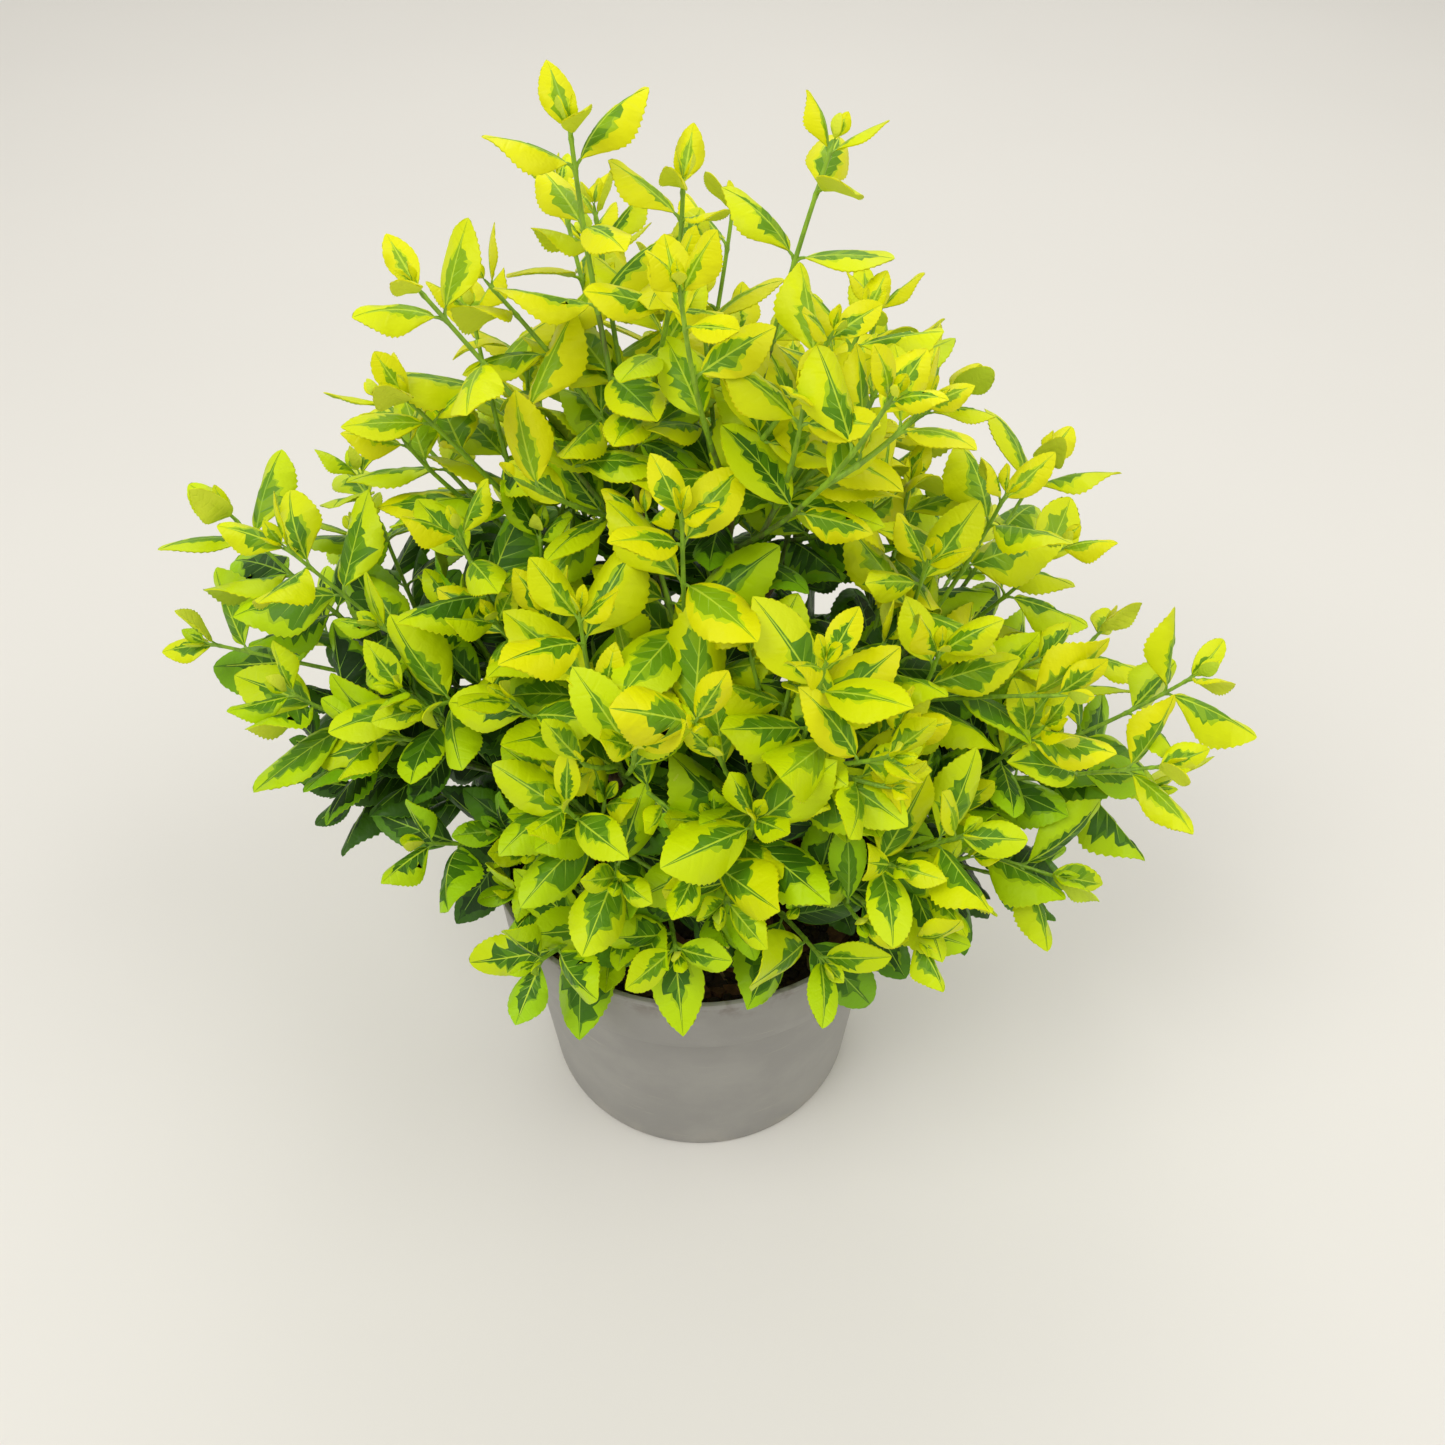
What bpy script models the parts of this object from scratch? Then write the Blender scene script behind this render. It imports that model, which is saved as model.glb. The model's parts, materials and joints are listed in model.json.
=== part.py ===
# Wintercreeper euonymus in its nursery pot: a loose mound of leafy shoots on a few woody stems.
# Metres, +Z up. The origin is the middle of the pot's underside, and the front of the plant faces -Y.

import math
import random

import bmesh
import bpy
from mathutils import Matrix, Vector

GAP = 0.0003  # clearance between pieces that touch

# Pot: a thin-walled container whose collar stands out from the body
POT_HEIGHT = 0.1265
BASE_RADIUS = 0.0646
WAIST_RADIUS = 0.0718
COLLAR_RADIUS = 0.0777
RIM_RADIUS = 0.0788
LIP_RADIUS = 0.0796
COLLAR_FOOT = 0.0974
LIP_HEIGHT = 0.0030
LIP_SLOPE = 0.0008  # height over which the wall goes out to the lip
COLLAR_SLOPE = 0.0004
STEP_RISE = 0.0010  # the ledge inside lies this much above the collar's foot
WALL = 0.0014
POT_FLOOR = 0.0018
FOOT_BEVEL = 0.0020
POT_SIDES = 40
DRAIN_HOLES = 6
DRAIN_SIDES = 8
DRAIN_RADIUS = 0.0055
DRAIN_CIRCLE = 0.048

# Soil: it fills the pot to a finger's breadth under the rim
SOIL_LEVEL = 0.1125

# Woody stems, each from a flat cut at the soil to its fork:
# azimuth in degrees, foot's distance from the middle, fork's distance, fork's height
STEMS = {
    "stem_right": (2, 0.016, 0.034, 0.162),
    "stem_back": (82, 0.016, 0.032, 0.172),
    "stem_left": (170, 0.017, 0.034, 0.166),
    "stem_front_left": (238, 0.016, 0.031, 0.160),
    "stem_front_right": (300, 0.017, 0.031, 0.158),
    "stem_middle": (60, 0.002, 0.004, 0.190),
}
STEM_FOOT_RADIUS = 0.0042
STEM_FORK_RADIUS = 0.0024
STEM_FLARE = 1.35
STEM_SIDES = 8
STEM_BOW = 0.05
SEAT_STEP = 0.0005  # how finely a bough's seat is looked for along its stem
RING_SPACING = 0.021  # along stems, boughs and twigs

# Shoots: the stem that carries each, then its tip's azimuth in degrees, distance and height,
# and its bow, which is how far the path sags below its chord as a share of the chord
SHOOTS = {
    "top_left": ("stem_middle", 138, 0.045, 0.396, 0.04),
    "top_right": ("stem_middle", 42, 0.058, 0.388, -0.06),
    "crown_middle": ("stem_middle", 262, 0.022, 0.318, 0.05),
    "upper_left": ("stem_left", 146, 0.085, 0.345, 0.06),
    "upper_back": ("stem_back", 48, 0.093, 0.334, 0.08),
    "back_left": ("stem_back", 124, 0.112, 0.285, 0.10),
    "back": ("stem_back", 88, 0.126, 0.252, 0.10),
    "back_low": ("stem_back", 108, 0.124, 0.172, 0.06),
    "back_right": ("stem_back", 62, 0.124, 0.184, 0.06),
    "right_back": ("stem_right", 33, 0.164, 0.262, 0.10),
    "right_high": ("stem_right", 12, 0.108, 0.292, 0.08),
    "right": ("stem_right", 0, 0.187, 0.226, 0.10),
    "right_low": ("stem_right", 341, 0.156, 0.148, -0.08),
    "right_front": ("stem_front_right", 326, 0.118, 0.214, 0.08),
    "front_right": ("stem_front_right", 299, 0.112, 0.150, -0.08),
    "front_high": ("stem_front_right", 308, 0.064, 0.284, 0.06),
    "front_middle": ("stem_front_right", 284, 0.078, 0.236, 0.06),
    "front_low": ("stem_front_left", 268, 0.100, 0.168, 0.03),
    "front_left": ("stem_front_left", 236, 0.082, 0.232, 0.06),
    "front_left_low": ("stem_front_left", 236, 0.116, 0.162, 0.03),
    "front_left_high": ("stem_front_left", 226, 0.048, 0.290, 0.05),
    "left_low": ("stem_left", 202, 0.120, 0.176, 0.06),
    "left": ("stem_left", 182, 0.156, 0.222, 0.08),
    "left_high": ("stem_left", 176, 0.078, 0.290, 0.06),
    "left_back": ("stem_left", 166, 0.178, 0.268, 0.10),
    "left_back_low": ("stem_left", 146, 0.122, 0.178, 0.06),
}
BOUGH_RADIUS = 0.0017
BOUGH_TIP_RADIUS = 0.0013
BOUGH_SIDES = 6
LOWEST_BRANCH = 0.128  # height of the first bough on each stem
LEAFY_SHARE = 0.84  # outer part of each shoot that carries leaves
LONGEST_LEAFY = 0.165
SITES = 16  # places along that part that stand for the shoot when space is shared out

# Twigs and leaves: pairs stand crosswise along a twig, close together at its tip
PAIR_PLACES = (0.0012, 0.010, 0.026, 0.046, 0.068, 0.090, 0.113, 0.136)  # from the twig's tip
LEAF_LENGTHS = (0.013, 0.022, 0.031, 0.036, 0.037, 0.037, 0.036, 0.034)
LEAF_ANGLES = (24, 40, 54, 62, 66, 70, 72, 74)  # between leaf and twig, in degrees
LEAF_WIDTH = 0.64  # of its length
LEAF_FOLD = 0.055  # how far the margins rise over the midrib, of the length
LEAF_SINK = 0.0003  # the root's depth past the twig's axis
WIDEST_AT = 0.44
LIFT_LEAF = 0.22  # how much a leaf turns up to the light
FACE_UP = 0.75  # how much its upper side turns up
FACE_OUT = 0.35  # and away from the plant's middle
LEAST_LEAN = 15  # least angle between leaf and twig
TWIG_RADIUS = 0.0011
TWIG_TIP_RADIUS = 0.0008
MAIN_TWIG = 1.2  # the shoot's own twig is this much thicker
TWIG_ANGLE = 42
LIFT_TWIG = 0.30
TWIG_BOW = 0.05
TWIG_ROOM = 0.85  # longest side twig, as a share of its distance to the tip of the twig it leaves
RUN_LENGTH = 0.010  # straight lengths that stand for a twig when leaves are kept clear of it
TWIG_LENGTHS = (0.066, 0.048, 0.034, 0.024)  # the longest that fits is kept
ENOUGH_LEAVES = 24  # a shoot with this many grows no more side twigs
SHORT_SHOOT = 0.10  # a shoot under this length branches one pair nearer its tip
SIDE_TIP = 0.006  # a side twig has no bud pair, and its end pair stands this much nearer its tip
LOWEST_PAIR = 0.005
LOWEST_TWIG = 0.008
CELL_MARGIN = 0.0009
LIMB_MARGIN = 0.0007
RIM_MARGIN = 0.003
CLEAR_ROOT = 0.14  # share of a leaf by its root that may lie close to its neighbours
TRIES = ((1.0, 0), (0.88, -14), (0.74, -24))  # length and angle of each try to place a leaf
FLAT_ANGLE = 0.002  # faces that meet under this angle, in radians, become one
SEED = 31


def wipe_scene():
    for item in list(bpy.data.objects):
        bpy.data.objects.remove(item, do_unlink=True)


def material(name, colour, roughness, metallic=0.0):
    made = bpy.data.materials.new(name)
    made.use_nodes = True
    shader = made.node_tree.nodes["Principled BSDF"]
    shader.inputs["Base Color"].default_value = (*colour, 1.0)
    shader.inputs["Roughness"].default_value = roughness
    shader.inputs["Metallic"].default_value = metallic
    return made


def add_object(name, mesh, look, collection=None):
    piece = bpy.data.objects.new(name, mesh)
    (collection or bpy.context.scene.collection).objects.link(piece)
    if look:
        mesh.materials.clear()
        mesh.materials.append(look)
    return piece


def smooth(mesh, angle=40):
    mesh.shade_smooth()
    mesh.set_sharp_from_angle(angle=math.radians(angle))


def around(azimuth, distance, height):
    turn = math.radians(azimuth)
    return Vector((distance * math.cos(turn), distance * math.sin(turn), height))


# Pot and soil

def turned(name, profile, sides):
    """A closed solid turned round Z from (radius, height) points, which run up the outside."""
    bm = bmesh.new()
    rings = []
    for radius, height in profile:
        if radius == 0:
            rings.append([bm.verts.new((0, 0, height))])
            continue
        turns = (math.tau * i / sides for i in range(sides))
        rings.append([bm.verts.new((radius * math.cos(a), radius * math.sin(a), height)) for a in turns])
    for lower, upper in zip(rings, rings[1:]):
        for i in range(sides):
            j = (i + 1) % sides
            if len(lower) == 1:
                bm.faces.new((lower[0], upper[j], upper[i]))
            elif len(upper) == 1:
                bm.faces.new((lower[i], lower[j], upper[0]))
            else:
                bm.faces.new((lower[i], lower[j], upper[j], upper[i]))
    mesh = bpy.data.meshes.new(name)
    bm.to_mesh(mesh)
    bm.free()
    return mesh


def inner_radius(height):
    """The collar's inner radius at a height."""
    share = (height - COLLAR_FOOT) / (POT_HEIGHT - COLLAR_FOOT)
    return COLLAR_RADIUS + (RIM_RADIUS - COLLAR_RADIUS) * share - WALL


def make_pot():
    step = COLLAR_FOOT - WALL
    lip = POT_HEIGHT - LIP_HEIGHT
    profile = [
        (0, 0),
        (BASE_RADIUS - FOOT_BEVEL, 0),
        (BASE_RADIUS, FOOT_BEVEL),
        (WAIST_RADIUS, step),
        (COLLAR_RADIUS, COLLAR_FOOT - COLLAR_SLOPE),
        (RIM_RADIUS, lip),
        (LIP_RADIUS, lip + LIP_SLOPE),
        (LIP_RADIUS, POT_HEIGHT),
        (RIM_RADIUS - WALL, POT_HEIGHT),
        (COLLAR_RADIUS - WALL, COLLAR_FOOT + STEP_RISE),
        (WAIST_RADIUS - WALL, step + STEP_RISE),
        (BASE_RADIUS - WALL, POT_FLOOR),
        (0, POT_FLOOR),
    ]
    mesh = turned("pot", profile, POT_SIDES)
    pot = add_object("pot", mesh, material("pot_plastic", (0.20, 0.195, 0.18), 0.5))
    cutters = bpy.data.collections.new("drain_cutters")
    bpy.context.scene.collection.children.link(cutters)
    for i in range(DRAIN_HOLES):
        bm = bmesh.new()
        size = {"radius1": DRAIN_RADIUS, "radius2": DRAIN_RADIUS, "depth": 4 * POT_FLOOR}
        bmesh.ops.create_cone(bm, cap_ends=True, segments=DRAIN_SIDES, **size)
        hole = bpy.data.meshes.new("drain")
        bm.to_mesh(hole)
        bm.free()
        cutter = add_object(f"drain_{i}", hole, None, cutters)
        cutter.location = around(360 * (i + 0.5) / DRAIN_HOLES, DRAIN_CIRCLE, 0)
    joined(pot, cutters, "DIFFERENCE")
    smooth(pot.data)


def make_soil():
    foot = POT_FLOOR + GAP
    step = COLLAR_FOOT - WALL + STEP_RISE
    ledge = COLLAR_FOOT + STEP_RISE
    profile = [
        (0, foot),
        (BASE_RADIUS - WALL - 2 * GAP, foot),
        (WAIST_RADIUS - WALL - 2 * GAP, step + GAP),
        (COLLAR_RADIUS - WALL - 2 * GAP, ledge + GAP),
        (inner_radius(SOIL_LEVEL) - 2 * GAP, SOIL_LEVEL),
        (0, SOIL_LEVEL),
    ]
    mesh = turned("soil", profile, POT_SIDES)
    add_object("soil", mesh, material("potting_soil", (0.035, 0.022, 0.014), 0.95))
    smooth(mesh)


def joined(base, collection, operation):
    """Applies one Boolean of base with the collection's objects, which are then removed."""
    cut = base.modifiers.new("join", "BOOLEAN")
    cut.operation = operation
    cut.operand_type = "COLLECTION"
    cut.collection = collection
    cut.solver = "EXACT"
    bpy.context.view_layer.update()
    result = bpy.data.meshes.new_from_object(base.evaluated_get(bpy.context.evaluated_depsgraph_get()))
    base.modifiers.clear()
    base.data = result
    for item in list(collection.objects):
        bpy.data.objects.remove(item, do_unlink=True)
    bpy.data.collections.remove(collection)


# Limbs and twigs

class Path:
    """A bowed run of short straight lengths from start to tip, read by distance from the start."""

    def __init__(self, start, tip, bow):
        chord = tip - start
        down = Vector((0, 0, -1))
        down -= chord.normalized() * down.dot(chord.normalized())
        bend = (start + tip) / 2 + down.normalized() * (2 * bow * chord.length)
        steps = max(2, round(chord.length / RING_SPACING))
        shares = [i / steps for i in range(steps + 1)]
        self.points = [start * (1 - t) ** 2 + bend * (2 * t * (1 - t)) + tip * t * t for t in shares]
        self.reached = [0.0]
        for a, b in zip(self.points, self.points[1:]):
            self.reached.append(self.reached[-1] + (b - a).length)
        self.length = self.reached[-1]

    def at(self, distance):
        distance = min(max(distance, 0.0), self.length)
        i = 1
        while i < len(self.reached) - 1 and self.reached[i] < distance:
            i += 1
        share = (distance - self.reached[i - 1]) / (self.reached[i] - self.reached[i - 1])
        return self.points[i - 1].lerp(self.points[i], share)

    def along(self, distance):
        """The direction there, eased over the corners."""
        ahead, behind = self.at(distance + RING_SPACING / 3), self.at(distance - RING_SPACING / 3)
        return (ahead - behind).normalized()

    def rings(self, start, end):
        """Centres and directions for a tube's rings between two distances: its ends and the
        corners between them."""
        near = RING_SPACING / 5
        corners = [s for s in self.reached if start + near < s < end - near]
        places = [start, *corners, end]
        return [self.at(s) for s in places], [self.along(s) for s in places], places


def frames(directions):
    """A pair of cross directions for each direction, carried along without twisting."""
    first = directions[0]
    side = first.orthogonal().normalized()
    pairs = []
    for direction in directions:
        side = (side - direction * side.dot(direction)).normalized()
        pairs.append((side, direction.cross(side)))
    return pairs


def tube(name, centres, directions, radii, sides):
    """A closed tapering tube with flat ends, square to its first and last directions."""
    bm = bmesh.new()
    rings = []
    for centre, (side, across), radius in zip(centres, frames(directions), radii):
        turns = (math.tau * i / sides for i in range(sides))
        rings.append(
            [bm.verts.new(centre + (side * math.cos(a) + across * math.sin(a)) * radius) for a in turns]
        )
    for lower, upper in zip(rings, rings[1:]):
        for i in range(sides):
            j = (i + 1) % sides
            bm.faces.new((lower[i], lower[j], upper[j], upper[i]))
    bm.faces.new(list(reversed(rings[0])))
    bm.faces.new(rings[-1])
    mesh = bpy.data.meshes.new(name)
    bm.to_mesh(mesh)
    bm.free()
    return mesh


class Stem:
    """A woody stem: upright at its flat foot, leaning out to its fork, with a slight flare."""

    def __init__(self, azimuth, foot, fork, height):
        self.path = Path(around(azimuth, foot, SOIL_LEVEL + GAP), around(azimuth, fork, height), STEM_BOW)
        self.centres, self.directions, places = self.path.rings(0, self.path.length)
        self.directions[0] = Vector((0, 0, 1))
        self.radii = [self.radius_at(s) for s in places]
        self.radii[0] *= STEM_FLARE

    def radius_at(self, distance):
        share = distance / self.path.length
        return STEM_FOOT_RADIUS + (STEM_FORK_RADIUS - STEM_FOOT_RADIUS) * share

    def side_seat(self, height, tip):
        """A place on the stem's side at a height, and the way out of it towards the tip."""
        distance = 0.0
        while self.path.at(distance).z < height and distance < self.path.length:
            distance += SEAT_STEP
        axis, centre = self.path.along(distance), self.path.at(distance)
        out = tip - centre
        out = (out - axis * out.dot(axis)).normalized()
        return centre + out * self.radius_at(distance), out

    def top_seat(self):
        return self.path.at(self.path.length), self.directions[-1]


def seated(seat, out, tip, bow):
    """Where a bough starts, so that the edge of its end ring lies just clear of its seat."""
    start = seat + out * (GAP + BOUGH_RADIUS)
    for _ in range(3):
        heading = Path(start, tip, bow).along(0)
        tilt = math.sqrt(max(0.0, 1 - heading.dot(out) ** 2))
        start = seat + out * (GAP + BOUGH_RADIUS * tilt)
    return start


class Shoot:
    """A shoot from its stem to its tip: a bare bough first, then the part that carries leaves."""

    def __init__(self, name, start, tip, bow):
        self.name = name
        self.path = Path(start, tip, bow)
        self.tip_at = self.path.length - LEAF_LENGTHS[0] * 0.8
        leafy = min(LEAFY_SHARE * self.path.length, LONGEST_LEAFY)
        self.bough_end = self.path.length - leafy
        self.mass_start = self.bough_end + GAP
        reach = self.tip_at - self.mass_start
        self.sites = [self.path.at(self.mass_start + reach * i / (SITES - 1)) for i in range(SITES)]

    def limb_points(self):
        """Points and radii along the bare bough, for keeping leaves clear of it."""
        steps = 14
        for i in range(steps + 1):
            share = i / steps
            radius = BOUGH_RADIUS + (BOUGH_TIP_RADIUS - BOUGH_RADIUS) * share
            yield self.path.at(self.bough_end * share), radius


def plan_plant():
    """The stems and shoots. On each stem the highest shoot goes on from the fork, and the
    others leave its side, the lowest first."""
    stems = {name: Stem(*sizes) for name, sizes in STEMS.items()}
    shoots = []
    for name, stem in stems.items():
        carried = [(row[3], key) for key, row in SHOOTS.items() if row[0] == name]
        carried.sort()
        top = STEMS[name][3]
        for place, (_, key) in enumerate(carried):
            _, azimuth, distance, height, bow = SHOOTS[key]
            tip = around(azimuth, distance, height)
            if place == len(carried) - 1:
                seat, out = stem.top_seat()
            else:
                share = place / (len(carried) - 1)
                seat, out = stem.side_seat(LOWEST_BRANCH + (top - LOWEST_BRANCH) * share, tip)
            shoots.append(Shoot(key, seated(seat, out, tip, bow), tip, bow))
    return stems, shoots


class Space:
    """Tells whether points keep to one shoot's own space, clear of every limb and of the pot."""

    def __init__(self, stems, shoots):
        self.sites = [(i, site) for i, shoot in enumerate(shoots) for site in shoot.sites]
        self.limbs = [item for shoot in shoots for item in shoot.limb_points()]
        for stem in stems.values():
            self.limbs += [
                (stem.path.at(stem.path.length * i / 12), stem.radius_at(stem.path.length * i / 12) * 1.2)
                for i in range(13)
            ]

    def holds(self, points, own):
        for p in points:
            if p.z < POT_HEIGHT + RIM_MARGIN and math.hypot(p.x, p.y) < LIP_RADIUS + RIM_MARGIN:
                return False
            if any((p - centre).length < radius + LIMB_MARGIN for centre, radius in self.limbs):
                return False
            mine = min((p - site).length for i, site in self.sites if i == own)
            other = min((p - site).length for i, site in self.sites if i != own)
            if mine + 2 * CELL_MARGIN > other:
                return False
        return True


def cuts(a, b, triangle):
    """Whether the straight line from a to b passes through a triangle."""
    p, q, r = triangle
    normal = (q - p).cross(r - p)
    before, after = normal.dot(a - p), normal.dot(b - p)
    if before * after >= 0:
        return False
    x = a.lerp(b, before / (before - after))
    return all(normal.dot((v - u).cross(x - u)) >= 0 for u, v in ((p, q), (q, r), (r, p)))


class Leaf:
    """A folded blade: a keel from its root to its tip, and a raised corner on each side."""

    def __init__(self, node, direction, face, length):
        self.direction = direction
        self.face = (face - direction * face.dot(direction)).normalized()
        self.across = self.face.cross(direction)
        self.length = length
        root = node - direction * LEAF_SINK
        spread = self.across * (length * LEAF_WIDTH / 2)
        middle = root + direction * (length * WIDEST_AT) + self.face * (length * LEAF_FOLD)
        self.tip = root + direction * length
        self.left, self.right = middle + spread, middle - spread
        self.root = root
        self.centre = root + direction * (length / 2)
        free = root.lerp(self.tip, CLEAR_ROOT)
        self.halves = ((free, self.left, self.tip), (free, self.tip, self.right))
        round_it = (free, self.left, self.tip, self.right)
        self.edges = (*zip(round_it, round_it[1:] + round_it[:1]), (free, self.tip))

    def crosses(self, other):
        if (self.centre - other.centre).length > (self.length + other.length) * 0.55:
            return False
        return any(cuts(a, b, half) for a, b in self.edges for half in other.halves) or any(
            cuts(a, b, half) for a, b in other.edges for half in self.halves
        )

    def samples(self):
        """Points over the blade, away from its root."""
        ridge = [self.root.lerp(self.tip, s) for s in (0.25, 0.45, 0.65, 0.85, 1.0)]
        sides = []
        for corner in (self.left, self.right):
            sides += [corner, self.root.lerp(corner, 0.55), self.tip.lerp(corner, 0.5)]
            sides.append(self.centre.lerp(corner, 0.5))
        return ridge + sides

    def mesh(self, name):
        corners = (self.root, self.tip, self.left, self.right)
        faces = ((0, 2, 1), (0, 1, 3), (0, 3, 2), (1, 2, 3))
        made = bpy.data.meshes.new(name)
        made.from_pydata(corners, [], faces)
        return made


class Growth:
    """The twigs and leaves of one shoot, by a seeded rule."""

    def __init__(self, shoot, own, space):
        self.rng = random.Random(SEED + own)
        self.shoot, self.own, self.space = shoot, own, space
        self.twigs, self.leaves, self.runs = [], [], []
        buds = self.grow(shoot.path, shoot.mass_start, shoot.tip_at, TWIG_RADIUS * MAIN_TWIG, True)
        self.rng.shuffle(buds)
        for bud in buds:
            if len(self.leaves) < ENOUGH_LEAVES:
                self.add_twig(*bud)

    def grow(self, path, start, end, radius, main):
        """Adds a twig between two distances on a path, with crosswise pairs of leaves on it, and
        gives the buds where side twigs may start."""
        self.twigs.append((path, start, end, radius))
        steps = max(2, round((end - start) / RUN_LENGTH))
        marks = [path.at(start + (end - start) * i / steps) for i in range(steps + 1)]
        self.runs += zip(marks, marks[1:])
        turn = self.rng.uniform(0, math.pi)
        first_buds = 2 if end - start < SHORT_SHOOT else 4
        buds = []
        for place, back in enumerate(PAIR_PLACES):
            if place == 0 and not main:
                continue
            distance = end - (back if main else back - SIDE_TIP) * self.rng.uniform(0.93, 1.07)
            if distance < start + LOWEST_PAIR:
                break
            node, axis = path.at(distance), path.along(distance)
            side = axis.orthogonal().normalized()
            for half in (0, math.pi):
                spread = Matrix.Rotation(turn + half, 3, axis) @ side
                self.add_leaf(node, axis, spread, place)
                if place >= first_buds and distance - start > LOWEST_TWIG:
                    buds.append((node, axis, spread, end - distance))
            turn += math.pi / 2 + self.rng.uniform(-0.25, 0.25)
        return buds

    def add_leaf(self, node, axis, spread, place):
        lean = LEAF_ANGLES[place] + self.rng.uniform(-9, 9)
        full = LEAF_LENGTHS[place] * self.rng.uniform(0.86, 1.12)
        outward = Vector((node.x, node.y, 0)).normalized()
        for size, closer in TRIES:
            angle = math.radians(max(lean + closer, LEAST_LEAN))
            direction = axis * math.cos(angle) + spread * math.sin(angle)
            direction = (direction + Vector((0, 0, LIFT_LEAF))).normalized()
            face = axis * math.sin(angle) - spread * math.cos(angle)
            face = face + Vector((0, 0, FACE_UP)) + outward * FACE_OUT
            leaf = Leaf(node, direction, face, full * size)
            if self.is_free(leaf) and self.space.holds(leaf.samples(), self.own):
                self.leaves.append(leaf)
                return

    def is_free(self, leaf):
        """Whether a leaf crosses none of the shoot's leaves and twigs so far."""
        return not any(leaf.crosses(other) for other in self.leaves) and not any(
            cuts(a, b, half) for a, b in self.runs for half in leaf.halves
        )

    def add_twig(self, node, axis, spread, room):
        angle = math.radians(TWIG_ANGLE + self.rng.uniform(-10, 10))
        heading = axis * math.cos(angle) + spread * math.sin(angle)
        heading = (heading + Vector((0, 0, LIFT_TWIG))).normalized()
        stretch_by = self.rng.uniform(0.85, 1.1)
        for length in TWIG_LENGTHS:
            length = min(length * stretch_by, room * TWIG_ROOM)
            path = Path(node, node + heading * length, TWIG_BOW)
            reach = [path.at(path.length * s) for s in (0.12, 0.3, 0.5, 0.7, 0.85, 1.0)]
            marks = list(zip(reach, reach[1:]))
            free = not any(cuts(a, b, half) for a, b in marks for leaf in self.leaves for half in leaf.halves)
            if free and self.space.holds(reach, self.own):
                self.grow(path, 0, path.length, TWIG_RADIUS, False)
                return


def make_limbs(stems, shoots):
    bark = material("woody_bark", (0.22, 0.15, 0.085), 0.85)
    green = material("green_stem", (0.24, 0.31, 0.07), 0.6)
    for name, stem in stems.items():
        mesh = tube(name, stem.centres, stem.directions, stem.radii, STEM_SIDES)
        add_object(name, mesh, bark)
        smooth(mesh)
    for shoot in shoots:
        centres, directions, places = shoot.path.rings(0, shoot.bough_end)
        radii = [BOUGH_RADIUS + (BOUGH_TIP_RADIUS - BOUGH_RADIUS) * s / shoot.bough_end for s in places]
        mesh = tube("bough_" + shoot.name, centres, directions, radii, BOUGH_SIDES)
        add_object("bough_" + shoot.name, mesh, green)
        smooth(mesh)


def keep_largest(mesh):
    """Drops every loose shell but the largest, which also fills a sealed hollow."""
    bm = bmesh.new()
    bm.from_mesh(mesh)
    left, shells = set(bm.faces), []
    while left:
        shell, edge = set(), [left.pop()]
        while edge:
            face = edge.pop()
            shell.add(face)
            for corner in face.verts:
                for near in corner.link_faces:
                    if near in left:
                        left.discard(near)
                        edge.append(near)
        shells.append(shell)
    shells.sort(key=len)
    loose = [face for shell in shells[:-1] for face in shell]
    bmesh.ops.delete(bm, geom=loose, context="FACES")
    bmesh.ops.dissolve_limit(bm, angle_limit=FLAT_ANGLE, verts=bm.verts, edges=bm.edges)
    bmesh.ops.triangulate(bm, faces=bm.faces)
    bm.to_mesh(mesh)
    bm.free()


def make_mass(shoot, growth, look):
    """One solid of a shoot's twigs and leaves, joined by a single union."""
    parts = bpy.data.collections.new("twigs_and_leaves")
    bpy.context.scene.collection.children.link(parts)
    base = None
    for path, start, end, radius in growth.twigs:
        centres, directions, places = path.rings(start, end)
        radii = [radius + (TWIG_TIP_RADIUS - radius) * (s - start) / (end - start) for s in places]
        mesh = tube("twig", centres, directions, radii, 3)
        if base is None:
            base = add_object("foliage_" + shoot.name, mesh, look)
        else:
            add_object("twig", mesh, look, parts)
    for leaf in growth.leaves:
        add_object("leaf", leaf.mesh("leaf"), look, parts)
    joined(base, parts, "UNION")
    keep_largest(base.data)


def main():
    wipe_scene()
    make_pot()
    make_soil()
    stems, shoots = plan_plant()
    make_limbs(stems, shoots)
    space = Space(stems, shoots)
    look = material("variegated_leaf", (0.50, 0.62, 0.03), 0.5)
    for own, shoot in enumerate(shoots):
        make_mass(shoot, Growth(shoot, own, space), look)


main()
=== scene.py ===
# Wintercreeper euonymus in its nursery pot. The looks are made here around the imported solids:
# limbs, twigs and leaves grow again by the rule of the solids, at life size and in full number.
import json
import math
import random

import bpy
import numpy as np
from mathutils import Matrix, Vector, noise

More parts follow.
